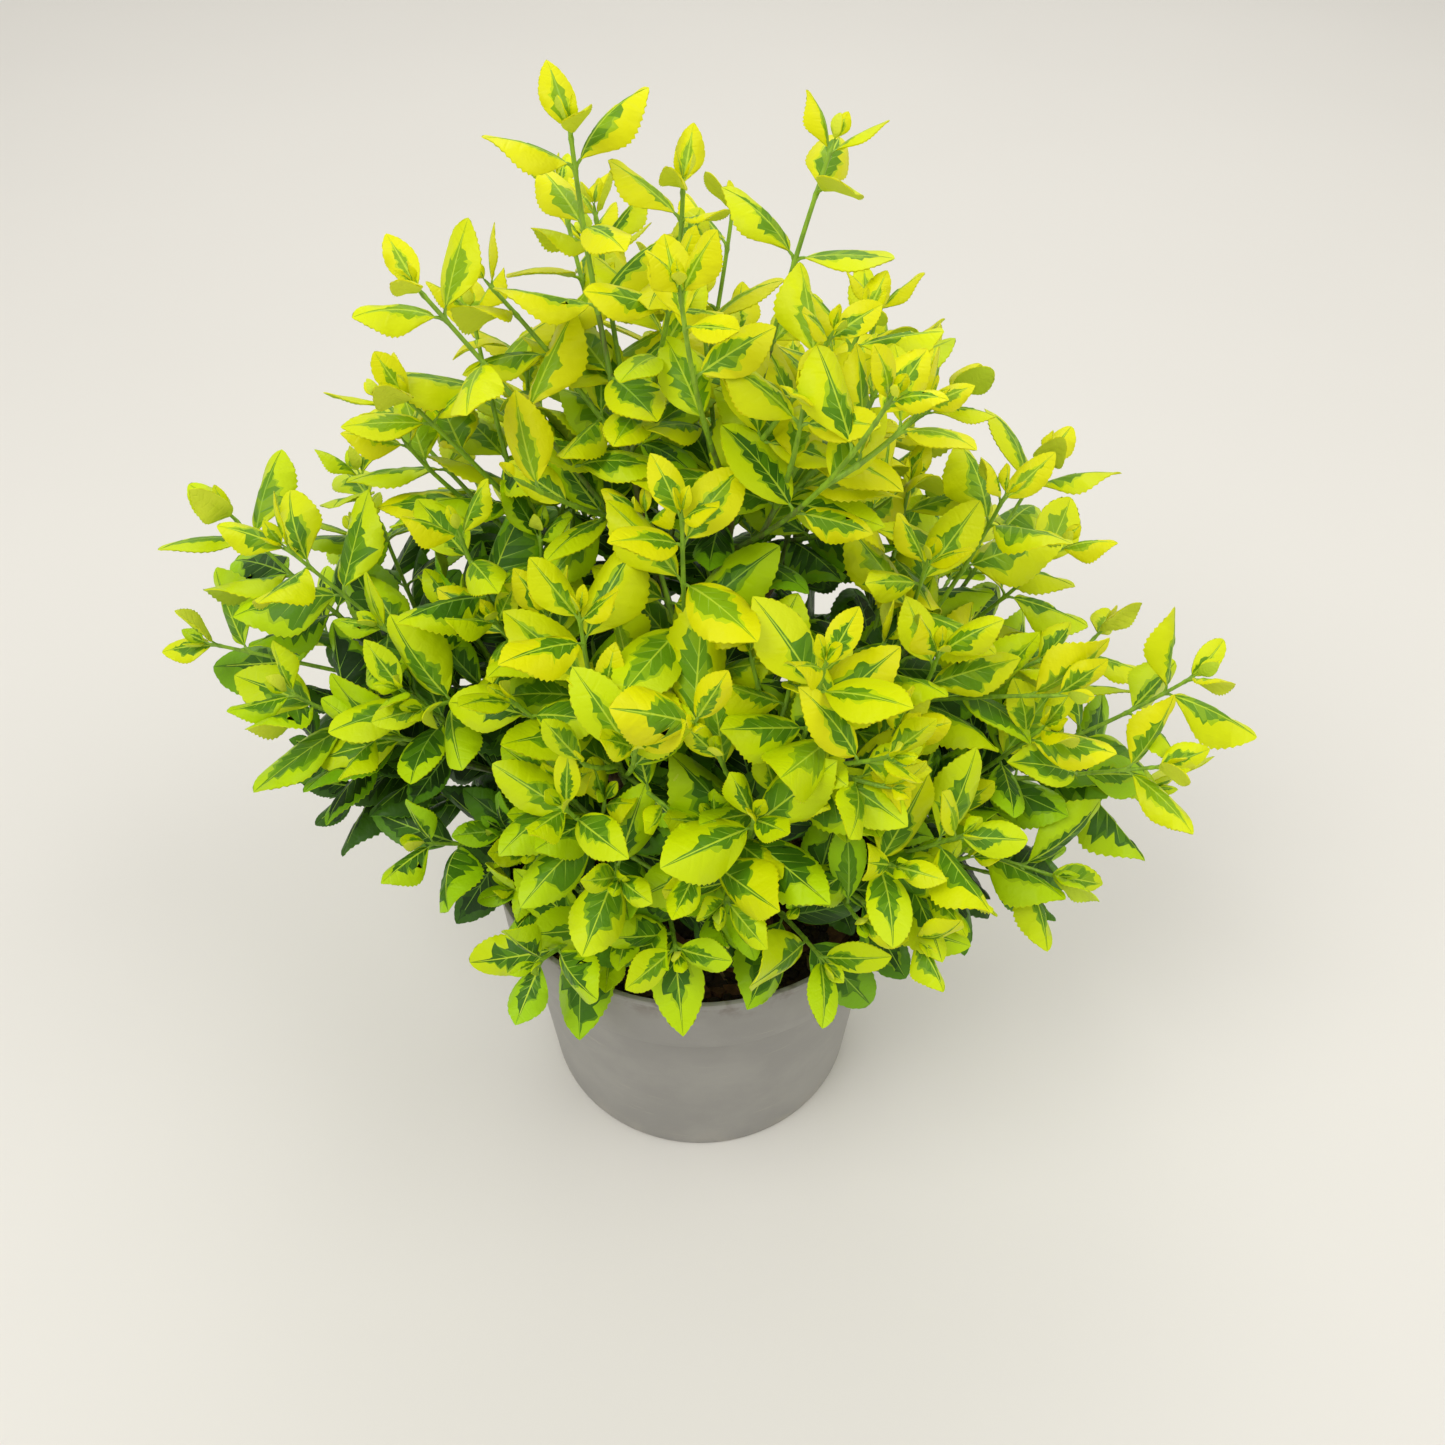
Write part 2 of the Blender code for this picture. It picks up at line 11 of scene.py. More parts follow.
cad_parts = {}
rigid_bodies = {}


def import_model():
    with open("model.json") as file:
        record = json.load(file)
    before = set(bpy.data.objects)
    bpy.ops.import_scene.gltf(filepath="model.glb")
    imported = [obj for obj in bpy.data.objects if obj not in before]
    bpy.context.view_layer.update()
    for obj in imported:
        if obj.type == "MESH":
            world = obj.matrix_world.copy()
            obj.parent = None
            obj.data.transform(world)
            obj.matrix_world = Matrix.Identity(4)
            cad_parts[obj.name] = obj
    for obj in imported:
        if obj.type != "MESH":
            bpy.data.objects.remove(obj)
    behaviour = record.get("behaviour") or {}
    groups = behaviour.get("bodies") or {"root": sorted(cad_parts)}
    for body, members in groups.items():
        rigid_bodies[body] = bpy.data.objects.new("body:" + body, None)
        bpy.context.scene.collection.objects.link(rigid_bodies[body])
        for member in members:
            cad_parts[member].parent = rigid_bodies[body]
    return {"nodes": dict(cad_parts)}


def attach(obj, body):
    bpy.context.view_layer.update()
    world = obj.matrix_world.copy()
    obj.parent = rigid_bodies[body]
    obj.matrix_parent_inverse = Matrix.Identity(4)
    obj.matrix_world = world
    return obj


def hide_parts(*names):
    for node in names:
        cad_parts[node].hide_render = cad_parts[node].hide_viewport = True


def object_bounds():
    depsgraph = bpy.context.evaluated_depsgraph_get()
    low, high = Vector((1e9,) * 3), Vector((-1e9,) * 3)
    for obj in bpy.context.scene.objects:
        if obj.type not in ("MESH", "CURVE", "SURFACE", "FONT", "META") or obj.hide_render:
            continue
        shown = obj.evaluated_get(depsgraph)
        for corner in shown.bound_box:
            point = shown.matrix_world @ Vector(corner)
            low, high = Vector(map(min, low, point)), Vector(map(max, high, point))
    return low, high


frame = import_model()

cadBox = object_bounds()
nodeNames = list(frame["nodes"])
print("loaded", len(nodeNames), "solids")


def shade(red, green, blue):
    # a colour as a screen shows it, 0 to 255, made linear
    parts = (c / 255 for c in (red, green, blue))
    return tuple(c / 12.92 if c <= 0.04 else ((c + 0.055) / 1.055) ** 2.4 for c in parts)


class Wire:
    # a socket to reckon with: an expression on wires adds its own Math nodes
    def __init__(self, tree, socket):
        self.tree, self.socket = tree, socket

    def add(self, kind, settings=None, sockets=None, out=0):
        made = self.tree.nodes.new(kind)
        for key, value in (settings or {}).items():
            if key == "stops":
                ramp = made.color_ramp.elements
                while len(ramp) < len(value):
                    ramp.new(1.0)
                for stop, (place, colour) in zip(ramp, value):
                    stop.position, stop.color = place, (*colour, 1.0)
            else:
                setattr(made, key, value)
        for key, value in (sockets or {}).items():
            if isinstance(value, Wire):
                self.tree.links.new(value.socket, made.inputs[key])
            else:
                made.inputs[key].default_value = value
        return Wire(self.tree, made.outputs[out])

    def reckon(self, operation, first, second):
        return self.add("ShaderNodeMath", {"operation": operation}, {0: first, 1: second})

    def __add__(self, other):
        return self.reckon("ADD", self, other)

    def __radd__(self, other):
        return self.reckon("ADD", other, self)

    def __sub__(self, other):
        return self.reckon("SUBTRACT", self, other)

    def __rsub__(self, other):
        return self.reckon("SUBTRACT", other, self)

    def __mul__(self, other):
        return self.reckon("MULTIPLY", self, other)

    def __rmul__(self, other):
        return self.reckon("MULTIPLY", other, self)

    def grain(self, scale, detail=2.0, rough=0.5, stretch=None):
        # an even noise from 0 to 1 over the coordinates of this wire
        where = self
        if stretch:
            where = self.add("ShaderNodeMapping", None, {"Vector": self, "Scale": stretch})
        sizes = {"Vector": where, "Scale": scale, "Detail": detail, "Roughness": rough}
        return self.add("ShaderNodeTexNoise", None, sizes)

    def step(self, low, high):
        # 0 below low, 1 above high, and smooth between
        sockets = {"Value": self, "From Min": low, "From Max": high}
        return self.add("ShaderNodeMapRange", {"interpolation_type": "SMOOTHSTEP"}, sockets)

    def mix(self, first, second):
        # a colour between two, by this wire
        def four(colour):
            return colour if isinstance(colour, Wire) else (*colour, 1.0)

        sockets = {0: self, 6: four(first), 7: four(second)}
        return self.add("ShaderNodeMix", {"data_type": "RGBA"}, sockets, 2)


class Finish:
    # a material with one Principled shader, whose place wire gives the object's own coordinates
    def __init__(self, name, colour, roughness, **more):
        self.material = bpy.data.materials.new(name)
        self.material.use_nodes = True
        self.tree = self.material.node_tree
        self.shader = self.tree.nodes["Principled BSDF"]
        self.shader.inputs["Base Color"].default_value = (*colour, 1.0)
        self.shader.inputs["Roughness"].default_value = roughness
        for key, value in more.items():
            self.shader.inputs[key.replace("_", " ")].default_value = value
        self.material.diffuse_color = (*colour, 1.0)
        start = Wire(self.tree, None)
        self.place = start.add("ShaderNodeTexCoord", out=3)
        self.height = self.place.add("ShaderNodeSeparateXYZ", None, {0: self.place}, 2)

    def feed(self, socket, wire):
        self.tree.links.new(wire.socket, self.shader.inputs[socket])

    def bump(self, relief, depth, strength=1.0):
        sockets = {"Height": relief, "Distance": depth, "Strength": strength}
        self.feed("Normal", relief.add("ShaderNodeBump", None, sockets))


def addPiece(name, mesh, materials):
    piece = bpy.data.objects.new(name, mesh)
    bpy.context.scene.collection.objects.link(piece)
    for item in materials:
        mesh.materials.append(item)
    return piece


def placePiece(piece, replaced):
    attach(piece, "root")
    if replaced:
        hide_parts(*replaced)


# The stage: a pale floor under soft light, and the photograph's camera

stage = {
    "floorColour": shade(225, 222, 215),
    "floorSize": 14.0,
    "skyColour": (1.0, 0.985, 0.95),
    "skyStrength": 0.62,
    "cameraPlace": (0.0059, -0.3407, 0.5294),
    "cameraTilt": 45.28,
    "pixelFocal": 1364.7,
    "pixelWidth": 1445,
    "pixelShift": 8.6,
    # each lamp: place, aim, size, watts
    "lamps": (
        ((-0.9, -0.7, 1.9), (0.0, 0.0, 0.2), 1.3, 18.0),
        ((1.1, -0.3, 1.6), (0.0, 0.0, 0.2), 1.2, 9.0),
        ((0.1, 1.3, 1.5), (0.0, 0.0, 0.2), 1.2, 6.5),
    ),
}


def makeStage():
    half = stage["floorSize"] / 2
    mesh = bpy.data.meshes.new("floor")
    mesh.from_pydata([(-half, -half, 0), (half, -half, 0), (half, half, 0), (-half, half, 0)], [], [(0, 1, 2, 3)])
    look = Finish("paleFloor", stage["floorColour"], 0.75)
    cloud = look.place.grain(2.5, 3.0)
    darker = tuple(c * 0.95 for c in stage["floorColour"])
    look.feed("Base Color", cloud.mix(darker, stage["floorColour"]))
    floor = addPiece("floor", mesh, [look.material])

    world = bpy.data.worlds.new("softRoom")
    world.use_nodes = True
    sky = world.node_tree.nodes["Background"]
    sky.inputs[0].default_value = (*stage["skyColour"], 1.0)
    sky.inputs[1].default_value = stage["skyStrength"]
    bpy.context.scene.world = world
    for number, (place, aim, size, watts) in enumerate(stage["lamps"]):
        light = bpy.data.lights.new(f"softLamp{number}", "AREA")
        light.shape, light.size, light.energy = "DISK", size, watts
        lamp = bpy.data.objects.new(light.name, light)
        lamp.location = place
        lamp.rotation_euler = (Vector(aim) - Vector(place)).to_track_quat("-Z", "Y").to_euler()
        bpy.context.scene.collection.objects.link(lamp)

    lens = bpy.data.cameras.new("photoCamera")
    lens.sensor_width = 36.0
    lens.lens = stage["pixelFocal"] / stage["pixelWidth"] * 36.0
    lens.shift_x = stage["pixelShift"] / stage["pixelWidth"]
    lens.clip_start = 0.01
    camera = bpy.data.objects.new("photoCamera", lens)
    camera.location = stage["cameraPlace"]
    camera.rotation_euler = (math.radians(90 - stage["cameraTilt"]), 0, 0)
    bpy.context.scene.collection.objects.link(camera)
    bpy.context.scene.camera = camera
    bpy.context.scene.view_settings.view_transform = "Standard"


makeStage()
print("stage, lamps and camera are set")


# Bundles of tubes and blades: plain lists that become one mesh

class Bundle:
    def __init__(self):
        self.points, self.faces, self.slots, self.count = [], [], [], 0

    def add(self, points, faces, slots):
        self.points.append(np.asarray(points, dtype=np.float64).reshape(-1, 3))
        self.faces += [tuple(corner + self.count for corner in face) for face in faces]
        self.slots += list(slots)
        self.count += len(self.points[-1])

    def mesh(self, name, angle=50):
        made = bpy.data.meshes.new(name)
        made.from_pydata(np.concatenate(self.points), [], self.faces)
        made.polygons.foreach_set("material_index", self.slots)
        made.shade_smooth()
        made.set_sharp_from_angle(angle=math.radians(angle))
        return made


def tubeFaces(rings, sides):
    # a closed tube's faces, its rings numbered one after another
    faces = []
    for ring in range(rings - 1):
        low, high = ring * sides, (ring + 1) * sides
        faces += [(low + i, low + (i + 1) % sides, high + (i + 1) % sides, high + i) for i in range(sides)]
    faces.append(tuple(reversed(range(sides))))
    faces.append(tuple((rings - 1) * sides + i for i in range(sides)))
    return faces


def tubePoints(centres, radii, sides, relief=None, flatFoot=False):
    # rings carried along the centres without twisting; relief gives each point's share of the radius
    centres = [Vector(c) for c in centres]
    aims = [(b - a).normalized() for a, b in zip(centres, centres[1:])]
    aims = [aims[0]] + [(a + b).normalized() for a, b in zip(aims, aims[1:])] + [aims[-1]]
    if flatFoot:
        aims[0] = Vector((0, 0, 1))
    side = aims[0].orthogonal().normalized()
    points = []
    for ring, (centre, aim, radius) in enumerate(zip(centres, aims, radii)):
        side = (side - aim * side.dot(aim)).normalized()
        across = aim.cross(side)
        for i in range(sides):
            turn = math.tau * i / sides
            reach = radius * (relief(ring, i) if relief else 1.0)
            points.append(centre + (side * math.cos(turn) + across * math.sin(turn)) * reach)
    return points


# The pot

pot = {
    "height": 0.1265, "base": 0.0646, "waist": 0.0718, "collar": 0.0777, "rim": 0.0788, "lip": 0.0796,
    "collarFoot": 0.0974, "lipHeight": 0.0030, "wall": 0.0014, "floor": 0.0018, "footRound": 0.0020,
    "sides": 128, "holes": 6, "holeRadius": 0.0055, "holeCircle": 0.048,
    "grey": shade(158, 156, 150), "darkGrey": shade(146, 144, 139), "dust": shade(176, 170, 158),
    "soilSmear": shade(96, 84, 70),
}


def potProfile():
    # radius and height up the outside, over the lip and down the inside
    p, rows = pot, []
    rows += [(0.0, 0.0006), (p["base"] - 0.0130, 0.0006), (p["base"] - 0.0120, 0.0)]
    for i in range(5):
        turn = math.pi / 2 * i / 4
        reach = p["footRound"]
        rows.append((p["base"] - reach + reach * math.sin(turn), reach - reach * math.cos(turn)))
    step = p["collarFoot"] - p["wall"]
    for i in range(1, 12):
        share = i / 12
        rows.append((p["base"] + (p["waist"] - p["base"]) * share, p["footRound"] + (step - 0.001 - p["footRound"]) * share))
    rows += [(p["waist"], step - 0.0008), (p["waist"] + 0.0003, step - 0.0002), (p["collar"] - 0.0012, p["collarFoot"] - 0.0008)]
    rows += [(p["collar"] - 0.0003, p["collarFoot"] - 0.0005), (p["collar"], p["collarFoot"] + 0.0003)]
    lip = p["height"] - p["lipHeight"]
    for i in range(1, 5):
        share = i / 5
        rows.append((p["collar"] + (p["rim"] - p["collar"]) * share, p["collarFoot"] + (lip - p["collarFoot"]) * share))
    rows += [(p["rim"], lip - 0.0004), (p["rim"] + 0.0003, lip), (p["lip"] - 0.0002, lip + 0.0005), (p["lip"], lip + 0.0010)]
    rows += [(p["lip"], p["height"] - 0.0007), (p["lip"] - 0.0002, p["height"] - 0.0002), (p["lip"] - 0.0006, p["height"])]
    rows += [(p["rim"] - p["wall"] + 0.0005, p["height"]), (p["rim"] - p["wall"], p["height"] - 0.0006)]
    rows += [(p["collar"] - p["wall"], p["collarFoot"] + 0.0012), (p["waist"] - p["wall"], p["collarFoot"])]
    rows += [(p["base"] - p["wall"], p["floor"]), (0.0, p["floor"])]
    return rows


def turnedMesh(name, rows, sides):
    bundle, points, faces = Bundle(), [], []
    starts = []
    for radius, height in rows:
        starts.append(len(points))
        many = 1 if radius == 0 else sides
        points += [(radius * math.cos(math.tau * i / sides), radius * math.sin(math.tau * i / sides), height) for i in range(many)]
    for a, b, lower, upper in zip(starts, starts[1:], rows, rows[1:]):
        for i in range(sides):
            j = (i + 1) % sides
            if lower[0] == 0:
                faces.append((a, b + j, b + i))
            elif upper[0] == 0:
                faces.append((a + i, a + j, b))
            else:
                faces.append((a + i, a + j, b + j, b + i))
    bundle.add(points, faces, [0] * len(faces))
    return bundle.mesh(name, 30)


def potFinish():
    look = Finish("potPlastic", pot["grey"], 0.48)
    cloud = look.place.grain(26.0, 4.0, 0.6)
    colour = cloud.step(0.35, 0.7).mix(pot["darkGrey"], pot["grey"])
    scratches = look.place.grain(170.0, 2.0, 0.6, (0.25, 0.25, 3.0)).step(0.66, 0.74)
    colour = (scratches * 0.35).mix(colour, pot["dust"])
    nearRim = look.height.step(0.112, 0.127) * look.place.grain(55.0, 4.0, 0.7).step(0.47, 0.66)
    colour = (nearRim * 0.75).mix(colour, pot["soilSmear"])
    nearFoot = (1 - look.height.step(0.0, 0.018)) * look.place.grain(70.0, 3.0).step(0.4, 0.7)
    colour = (nearFoot * 0.5).mix(colour, pot["dust"])
    look.feed("Base Color", colour)
    look.feed("Roughness", 0.42 + cloud * 0.22)
    look.bump(look.place.grain(1400.0, 2.0) + scratches * 0.6, 0.0001, 0.5)
    return look.material


def makePot():
    body = addPiece("nurseryPot", turnedMesh("nurseryPot", potProfile(), pot["sides"]), [potFinish()])
    cutters = bpy.data.collections.new("drainCutters")
    bpy.context.scene.collection.children.link(cutters)
    for i in range(pot["holes"]):
        turn = math.tau * (i + 0.5) / pot["holes"]
        at = (pot["holeCircle"] * math.cos(turn), pot["holeCircle"] * math.sin(turn), 0)
        reach = pot["floor"] * 3
        centres = [Vector(at) + Vector((0, 0, z)) for z in (-reach, 0, reach)]
        bundle = Bundle()
        faces = tubeFaces(3, 24)
        bundle.add(tubePoints(centres, [pot["holeRadius"]] * 3, 24), faces, [0] * len(faces))
        cutter = bpy.data.objects.new("drain", bundle.mesh("drain"))
        cutters.objects.link(cutter)
    cut = body.modifiers.new("drain", "BOOLEAN")
    cut.operand_type, cut.operation, cut.solver, cut.collection = "COLLECTION", "DIFFERENCE", "EXACT", cutters
    settle(body)
    for item in list(cutters.objects):
        bpy.data.objects.remove(item, do_unlink=True)
    bpy.data.collections.remove(cutters)
    body.data.set_sharp_from_angle(angle=math.radians(30))
    placePiece(body, ["pot"])


def settle(piece):
    # turns what the modifiers show into the piece's own plain mesh
    bpy.context.view_layer.update()
    made = bpy.data.meshes.new_from_object(piece.evaluated_get(bpy.context.evaluated_depsgraph_get()))
    piece.modifiers.clear()
    piece.data = made
    made.name = piece.name


makePot()
print("pot is made")


# The soil: a bed with a rough top, and crumbs, bark chips and fibres strewn on it

soil = {
    "level": 0.1125, "radius": 0.0755, "rings": 34, "sides": 120, "relief": 0.0022,
    "black": shade(40, 30, 23), "brown": shade(72, 52, 38),
    # each kind of bit: name, shape's size, least and most scale, per square metre, seed, colour
    "bits": (
        ("peatCrumbs", (0.0013, 0.0013, 0.0010), (0.5, 1.7), 62000.0, 4, shade(52, 39, 30)),
        ("barkChips", (0.0050, 0.0028, 0.0011), (0.5, 1.6), 9500.0, 9, shade(112, 76, 52)),
        ("paleFibres", (0.0056, 0.0006, 0.0005), (0.5, 1.6), 3600.0, 15, shade(150, 122, 88)),
    ),
}


def soilHeight(x, y):
    lump = noise.noise(Vector((x * 75, y * 75, 3.1))) * 0.6 + noise.noise(Vector((x * 220, y * 220, 8.4))) * 0.4
    return soil["level"] + soil["relief"] * (lump - 0.35)


def soilMesh():
    # a closed bed: its rough top, then its side and flat underside
    sides, rows = soil["sides"], []
    for k in range(1, soil["rings"] + 1):
        radius = soil["radius"] * k / soil["rings"]
        turns = (math.tau * i / sides for i in range(sides))
        rows.append([(radius * math.cos(a), radius * math.sin(a)) for a in turns])
    points = [(0, 0, soilHeight(0, 0))] + [(x, y, soilHeight(x, y)) for row in rows for x, y in row]
    edge = pot["waist"] - pot["wall"] - 0.0010
    for radius, height in ((edge, pot["collarFoot"] - 0.001), (pot["base"] - pot["wall"] - 0.0010, pot["floor"] + 0.0005)):
        turns = (math.tau * i / sides for i in range(sides))
        points += [(radius * math.cos(a), radius * math.sin(a), height) for a in turns]
    points.append((0, 0, pot["floor"] + 0.0005))
    count = soil["rings"] + 2
    faces = [(0, 1 + i, 1 + (i + 1) % sides) for i in range(sides)]
    for k in range(count - 1):
        low, high = 1 + k * sides, 1 + (k + 1) * sides
        faces += [(low + i, high + i, high + (i + 1) % sides, low + (i + 1) % sides) for i in range(sides)]
    last = 1 + (count - 1) * sides
    faces += [(last + (i + 1) % sides, last + i, len(points) - 1) for i in range(sides)]
    bundle = Bundle()
    bundle.add(points, faces, [0] * len(faces))
    return bundle.mesh("soilBed", 60)


def strewTree(shapeKind, material):
    # bits strewn over a surface: inputs for how many, how large and the seed
    tree = bpy.data.node_groups.new("strewnBits", "GeometryNodeTree")
    face = tree.interface
    face.new_socket("Surface", in_out="INPUT", socket_type="NodeSocketGeometry")
    inputs = {}
    for label, kind in (("Density", "Float"), ("Size", "Vector"), ("Least", "Float"), ("Most", "Float"), ("Seed", "Int"), ("Rough", "Float")):
        inputs[label] = face.new_socket(label, in_out="INPUT", socket_type="NodeSocket" + kind).identifier
    face.new_socket("Bits", in_out="OUTPUT", socket_type="NodeSocketGeometry")
    given = tree.nodes.new("NodeGroupInput")

    def wire(label):
        return Wire(tree, given.outputs[label])

    start = wire("Surface")
    spread = start.add("GeometryNodeDistributePointsOnFaces", None, {"Mesh": start, "Density": wire("Density"), "Seed": wire("Seed")})
    if shapeKind == "crumb":
        shape = start.add("GeometryNodeMeshIcoSphere", None, {"Radius": 1.0, "Subdivisions": 2})
    else:
        shape = start.add("GeometryNodeMeshCube", None, {"Size": (2.0, 2.0, 2.0), "Vertices X": 4, "Vertices Y": 3, "Vertices Z": 2})
    shape = start.add("GeometryNodeTransform", None, {"Geometry": shape, "Scale": wire("Size")})
    turn = start.add("FunctionNodeRandomValue", {"data_type": "FLOAT_VECTOR"}, {0: (-0.5, -0.5, 0.0), 1: (0.5, 0.5, 6.28), "Seed": wire("Seed")})
    size = start.add("FunctionNodeRandomValue", {"data_type": "FLOAT"}, {2: wire("Least"), 3: wire("Most"), "Seed": wire("Seed") + 1}, 1)
    placed = {"Points": spread, "Instance": shape, "Rotation": turn, "Scale": size}
    bits = start.add("GeometryNodeInstanceOnPoints", None, placed)
    bits = start.add("GeometryNodeRealizeInstances", None, {"Geometry": bits})
    where = start.add("GeometryNodeInputPosition")
    wobble = start.add("ShaderNodeTexNoise", {"noise_dimensions": "3D"}, {"Vector": where, "Scale": 900.0, "Detail": 1.0}, 1)
    wobble = start.add("ShaderNodeVectorMath", {"operation": "SUBTRACT"}, {0: wobble, 1: (0.5, 0.5, 0.5)})
    wobble = start.add("ShaderNodeVectorMath", {"operation": "SCALE"}, {0: wobble, "Scale": wire("Rough")})
    bits = start.add("GeometryNodeSetPosition", None, {"Geometry": bits, "Offset": wobble})
    bits = start.add("GeometryNodeSetMaterial", None, {"Geometry": bits, "Material": material})
    leave = tree.nodes.new("NodeGroupOutput")
    tree.links.new(bits.socket, leave.inputs[0])
    return tree, inputs


def soilFinish():
    look = Finish("pottingMix", soil["brown"], 0.95)
    colour = look.place.grain(130.0, 4.0, 0.7).step(0.35, 0.68).mix(soil["black"], soil["brown"])
    look.feed("Base Color", colour)
    look.bump(look.place.grain(700.0, 4.0, 0.7), 0.0006, 0.8)
    return look.material


def bitFinish(name, colour):
    look = Finish(name, colour, 0.9)
    dark = tuple(c * 0.5 for c in colour)
    look.feed("Base Color", look.place.grain(260.0, 3.0, 0.6).step(0.3, 0.7).mix(dark, colour))
    look.bump(look.place.grain(1500.0, 2.0), 0.0003, 0.6)
    return look.material


def makeSoil():
    bed = addPiece("soilBed", soilMesh(), [soilFinish()])
    placePiece(bed, ["soil"])
    for name, size, (least, most), density, seed, colour in soil["bits"]:
        look = bitFinish(name + "Look", colour)
        tree, inputs = strewTree("crumb" if name == "peatCrumbs" else "chip", look)
        # the longest bit keeps clear of the pot's wall
        rim = soil["radius"] - most * max(size)
        points = [(0, 0, soilHeight(0, 0))]
        rows = 18
        for k in range(1, rows + 1):
            for i in range(60):
                x, y = rim * k / rows * math.cos(math.tau * i / 60), rim * k / rows * math.sin(math.tau * i / 60)
                points.append((x, y, soilHeight(x, y) + size[2] * 0.3))
        faces = [(0, 1 + i, 1 + (i + 1) % 60) for i in range(60)]
        for k in range(rows - 1):
            low, high = 1 + k * 60, 1 + (k + 1) * 60
            faces += [(low + i, high + i, high + (i + 1) % 60, low + (i + 1) % 60) for i in range(60)]
        mesh = bpy.data.meshes.new(name)
        mesh.from_pydata(points, [], faces)
        bits = addPiece(name, mesh, [look])
        strew = bits.modifiers.new("strew", "NODES")
        strew.node_group = tree
        values = {"Density": density, "Size": size, "Least": least, "Most": most, "Seed": seed, "Rough": min(size) * 1.1}
        for label, value in values.items():
            strew[inputs[label]] = value
        settle(bits)
        bits.data.shade_smooth()
        bits.data.set_sharp_from_angle(angle=math.radians(35))
        placePiece(bits, [])


makeSoil()
print("soil is strewn")


# The plant's limbs: the same stems and shoots as in the solids

plant = {
    "soilLevel": 0.1125, "gap": 0.0003, "lowestBranch": 0.128, "stemBow": 0.05,
    "stemFootRadius": 0.0042, "stemForkRadius": 0.0024, "stemFlare": 1.35,
    "boughRadius": 0.0017, "boughTipRadius": 0.0013, "leafyShare": 0.84, "longestLeafy": 0.165, "sites": 16,
    # azimuth in degrees, foot's distance from the middle, fork's distance, fork's height
    "stems": {
        "stem_right": (2, 0.016, 0.034, 0.162),
        "stem_back": (82, 0.016, 0.032, 0.172),
        "stem_left": (170, 0.017, 0.034, 0.166),
        "stem_front_left": (238, 0.016, 0.031, 0.160),
        "stem_front_right": (300, 0.017, 0.031, 0.158),
        "stem_middle": (60, 0.002, 0.004, 0.190),
    },
    # the stem that carries each shoot, its tip's azimuth, distance and height, and its bow
    "shoots": {
        "top_left": ("stem_middle", 138, 0.045, 0.396, 0.04),
        "top_right": ("stem_middle", 42, 0.058, 0.388, -0.06),
        "crown_middle": ("stem_middle", 262, 0.022, 0.318, 0.05),
        "upper_left": ("stem_left", 146, 0.085, 0.345, 0.06),
        "upper_back": ("stem_back", 48, 0.093, 0.334, 0.08),
        "back_left": ("stem_back", 124, 0.112, 0.285, 0.10),
        "back": ("stem_back", 88, 0.126, 0.252, 0.10),
        "back_low": ("stem_back", 108, 0.124, 0.172, 0.06),
        "back_right": ("stem_back", 62, 0.124, 0.184, 0.06),
        "right_back": ("stem_right", 33, 0.164, 0.262, 0.10),
        "right_high": ("stem_right", 12, 0.108, 0.292, 0.08),
        "right": ("stem_right", 0, 0.187, 0.226, 0.10),
        "right_low": ("stem_right", 341, 0.156, 0.148, -0.08),
        "right_front": ("stem_front_right", 326, 0.118, 0.214, 0.08),
        "front_right": ("stem_front_right", 299, 0.112, 0.150, -0.08),
        "front_high": ("stem_front_right", 308, 0.064, 0.284, 0.06),
        "front_middle": ("stem_front_right", 284, 0.078, 0.236, 0.06),
        "front_low": ("stem_front_left", 268, 0.100, 0.168, 0.03),
        "front_left": ("stem_front_left", 236, 0.082, 0.232, 0.06),
        "front_left_low": ("stem_front_left", 236, 0.116, 0.162, 0.03),
        "front_left_high": ("stem_front_left", 226, 0.048, 0.290, 0.05),
        "left_low": ("stem_left", 202, 0.120, 0.176, 0.06),
        "left": ("stem_left", 182, 0.156, 0.222, 0.08),
        "left_high": ("stem_left", 176, 0.078, 0.290, 0.06),
        "left_back": ("stem_left", 166, 0.178, 0.268, 0.10),
        "left_back_low": ("stem_left", 146, 0.122, 0.178, 0.06),
    },
}


def around(azimuth, distance, height):
    turn = math.radians(azimuth)
    return Vector((distance * math.cos(turn), distance * math.sin(turn), height))


class Path:
    # a bowed run from start to tip, read by distance from the start
    def __init__(self, start, tip, bow, fineness=0.004):
        chord = tip - start
        down = Vector((0, 0, -1))
        down -= chord.normalized() * down.dot(chord.normalized())
        bend = (start + tip) / 2 + down.normalized() * (2 * bow * chord.length)
        steps = max(3, round(chord.length / fineness))
        shares = [i / steps for i in range(steps + 1)]
        self.points = [start * (1 - t) ** 2 + bend * (2 * t * (1 - t)) + tip * t * t for t in shares]
        self.reached = [0.0]
        for a, b in zip(self.points, self.points[1:]):
            self.reached.append(self.reached[-1] + (b - a).length)
        self.length = self.reached[-1]

    def at(self, distance):
        distance = min(max(distance, 0.0), self.length)
        i = min(max(int(np.searchsorted(self.reached, distance)), 1), len(self.reached) - 1)
        share = (distance - self.reached[i - 1]) / (self.reached[i] - self.reached[i - 1])
        return self.points[i - 1].lerp(self.points[i], share)

    def along(self, distance):
        ahead, behind = self.at(distance + 0.004), self.at(distance - 0.004)
        return (ahead - behind).normalized()


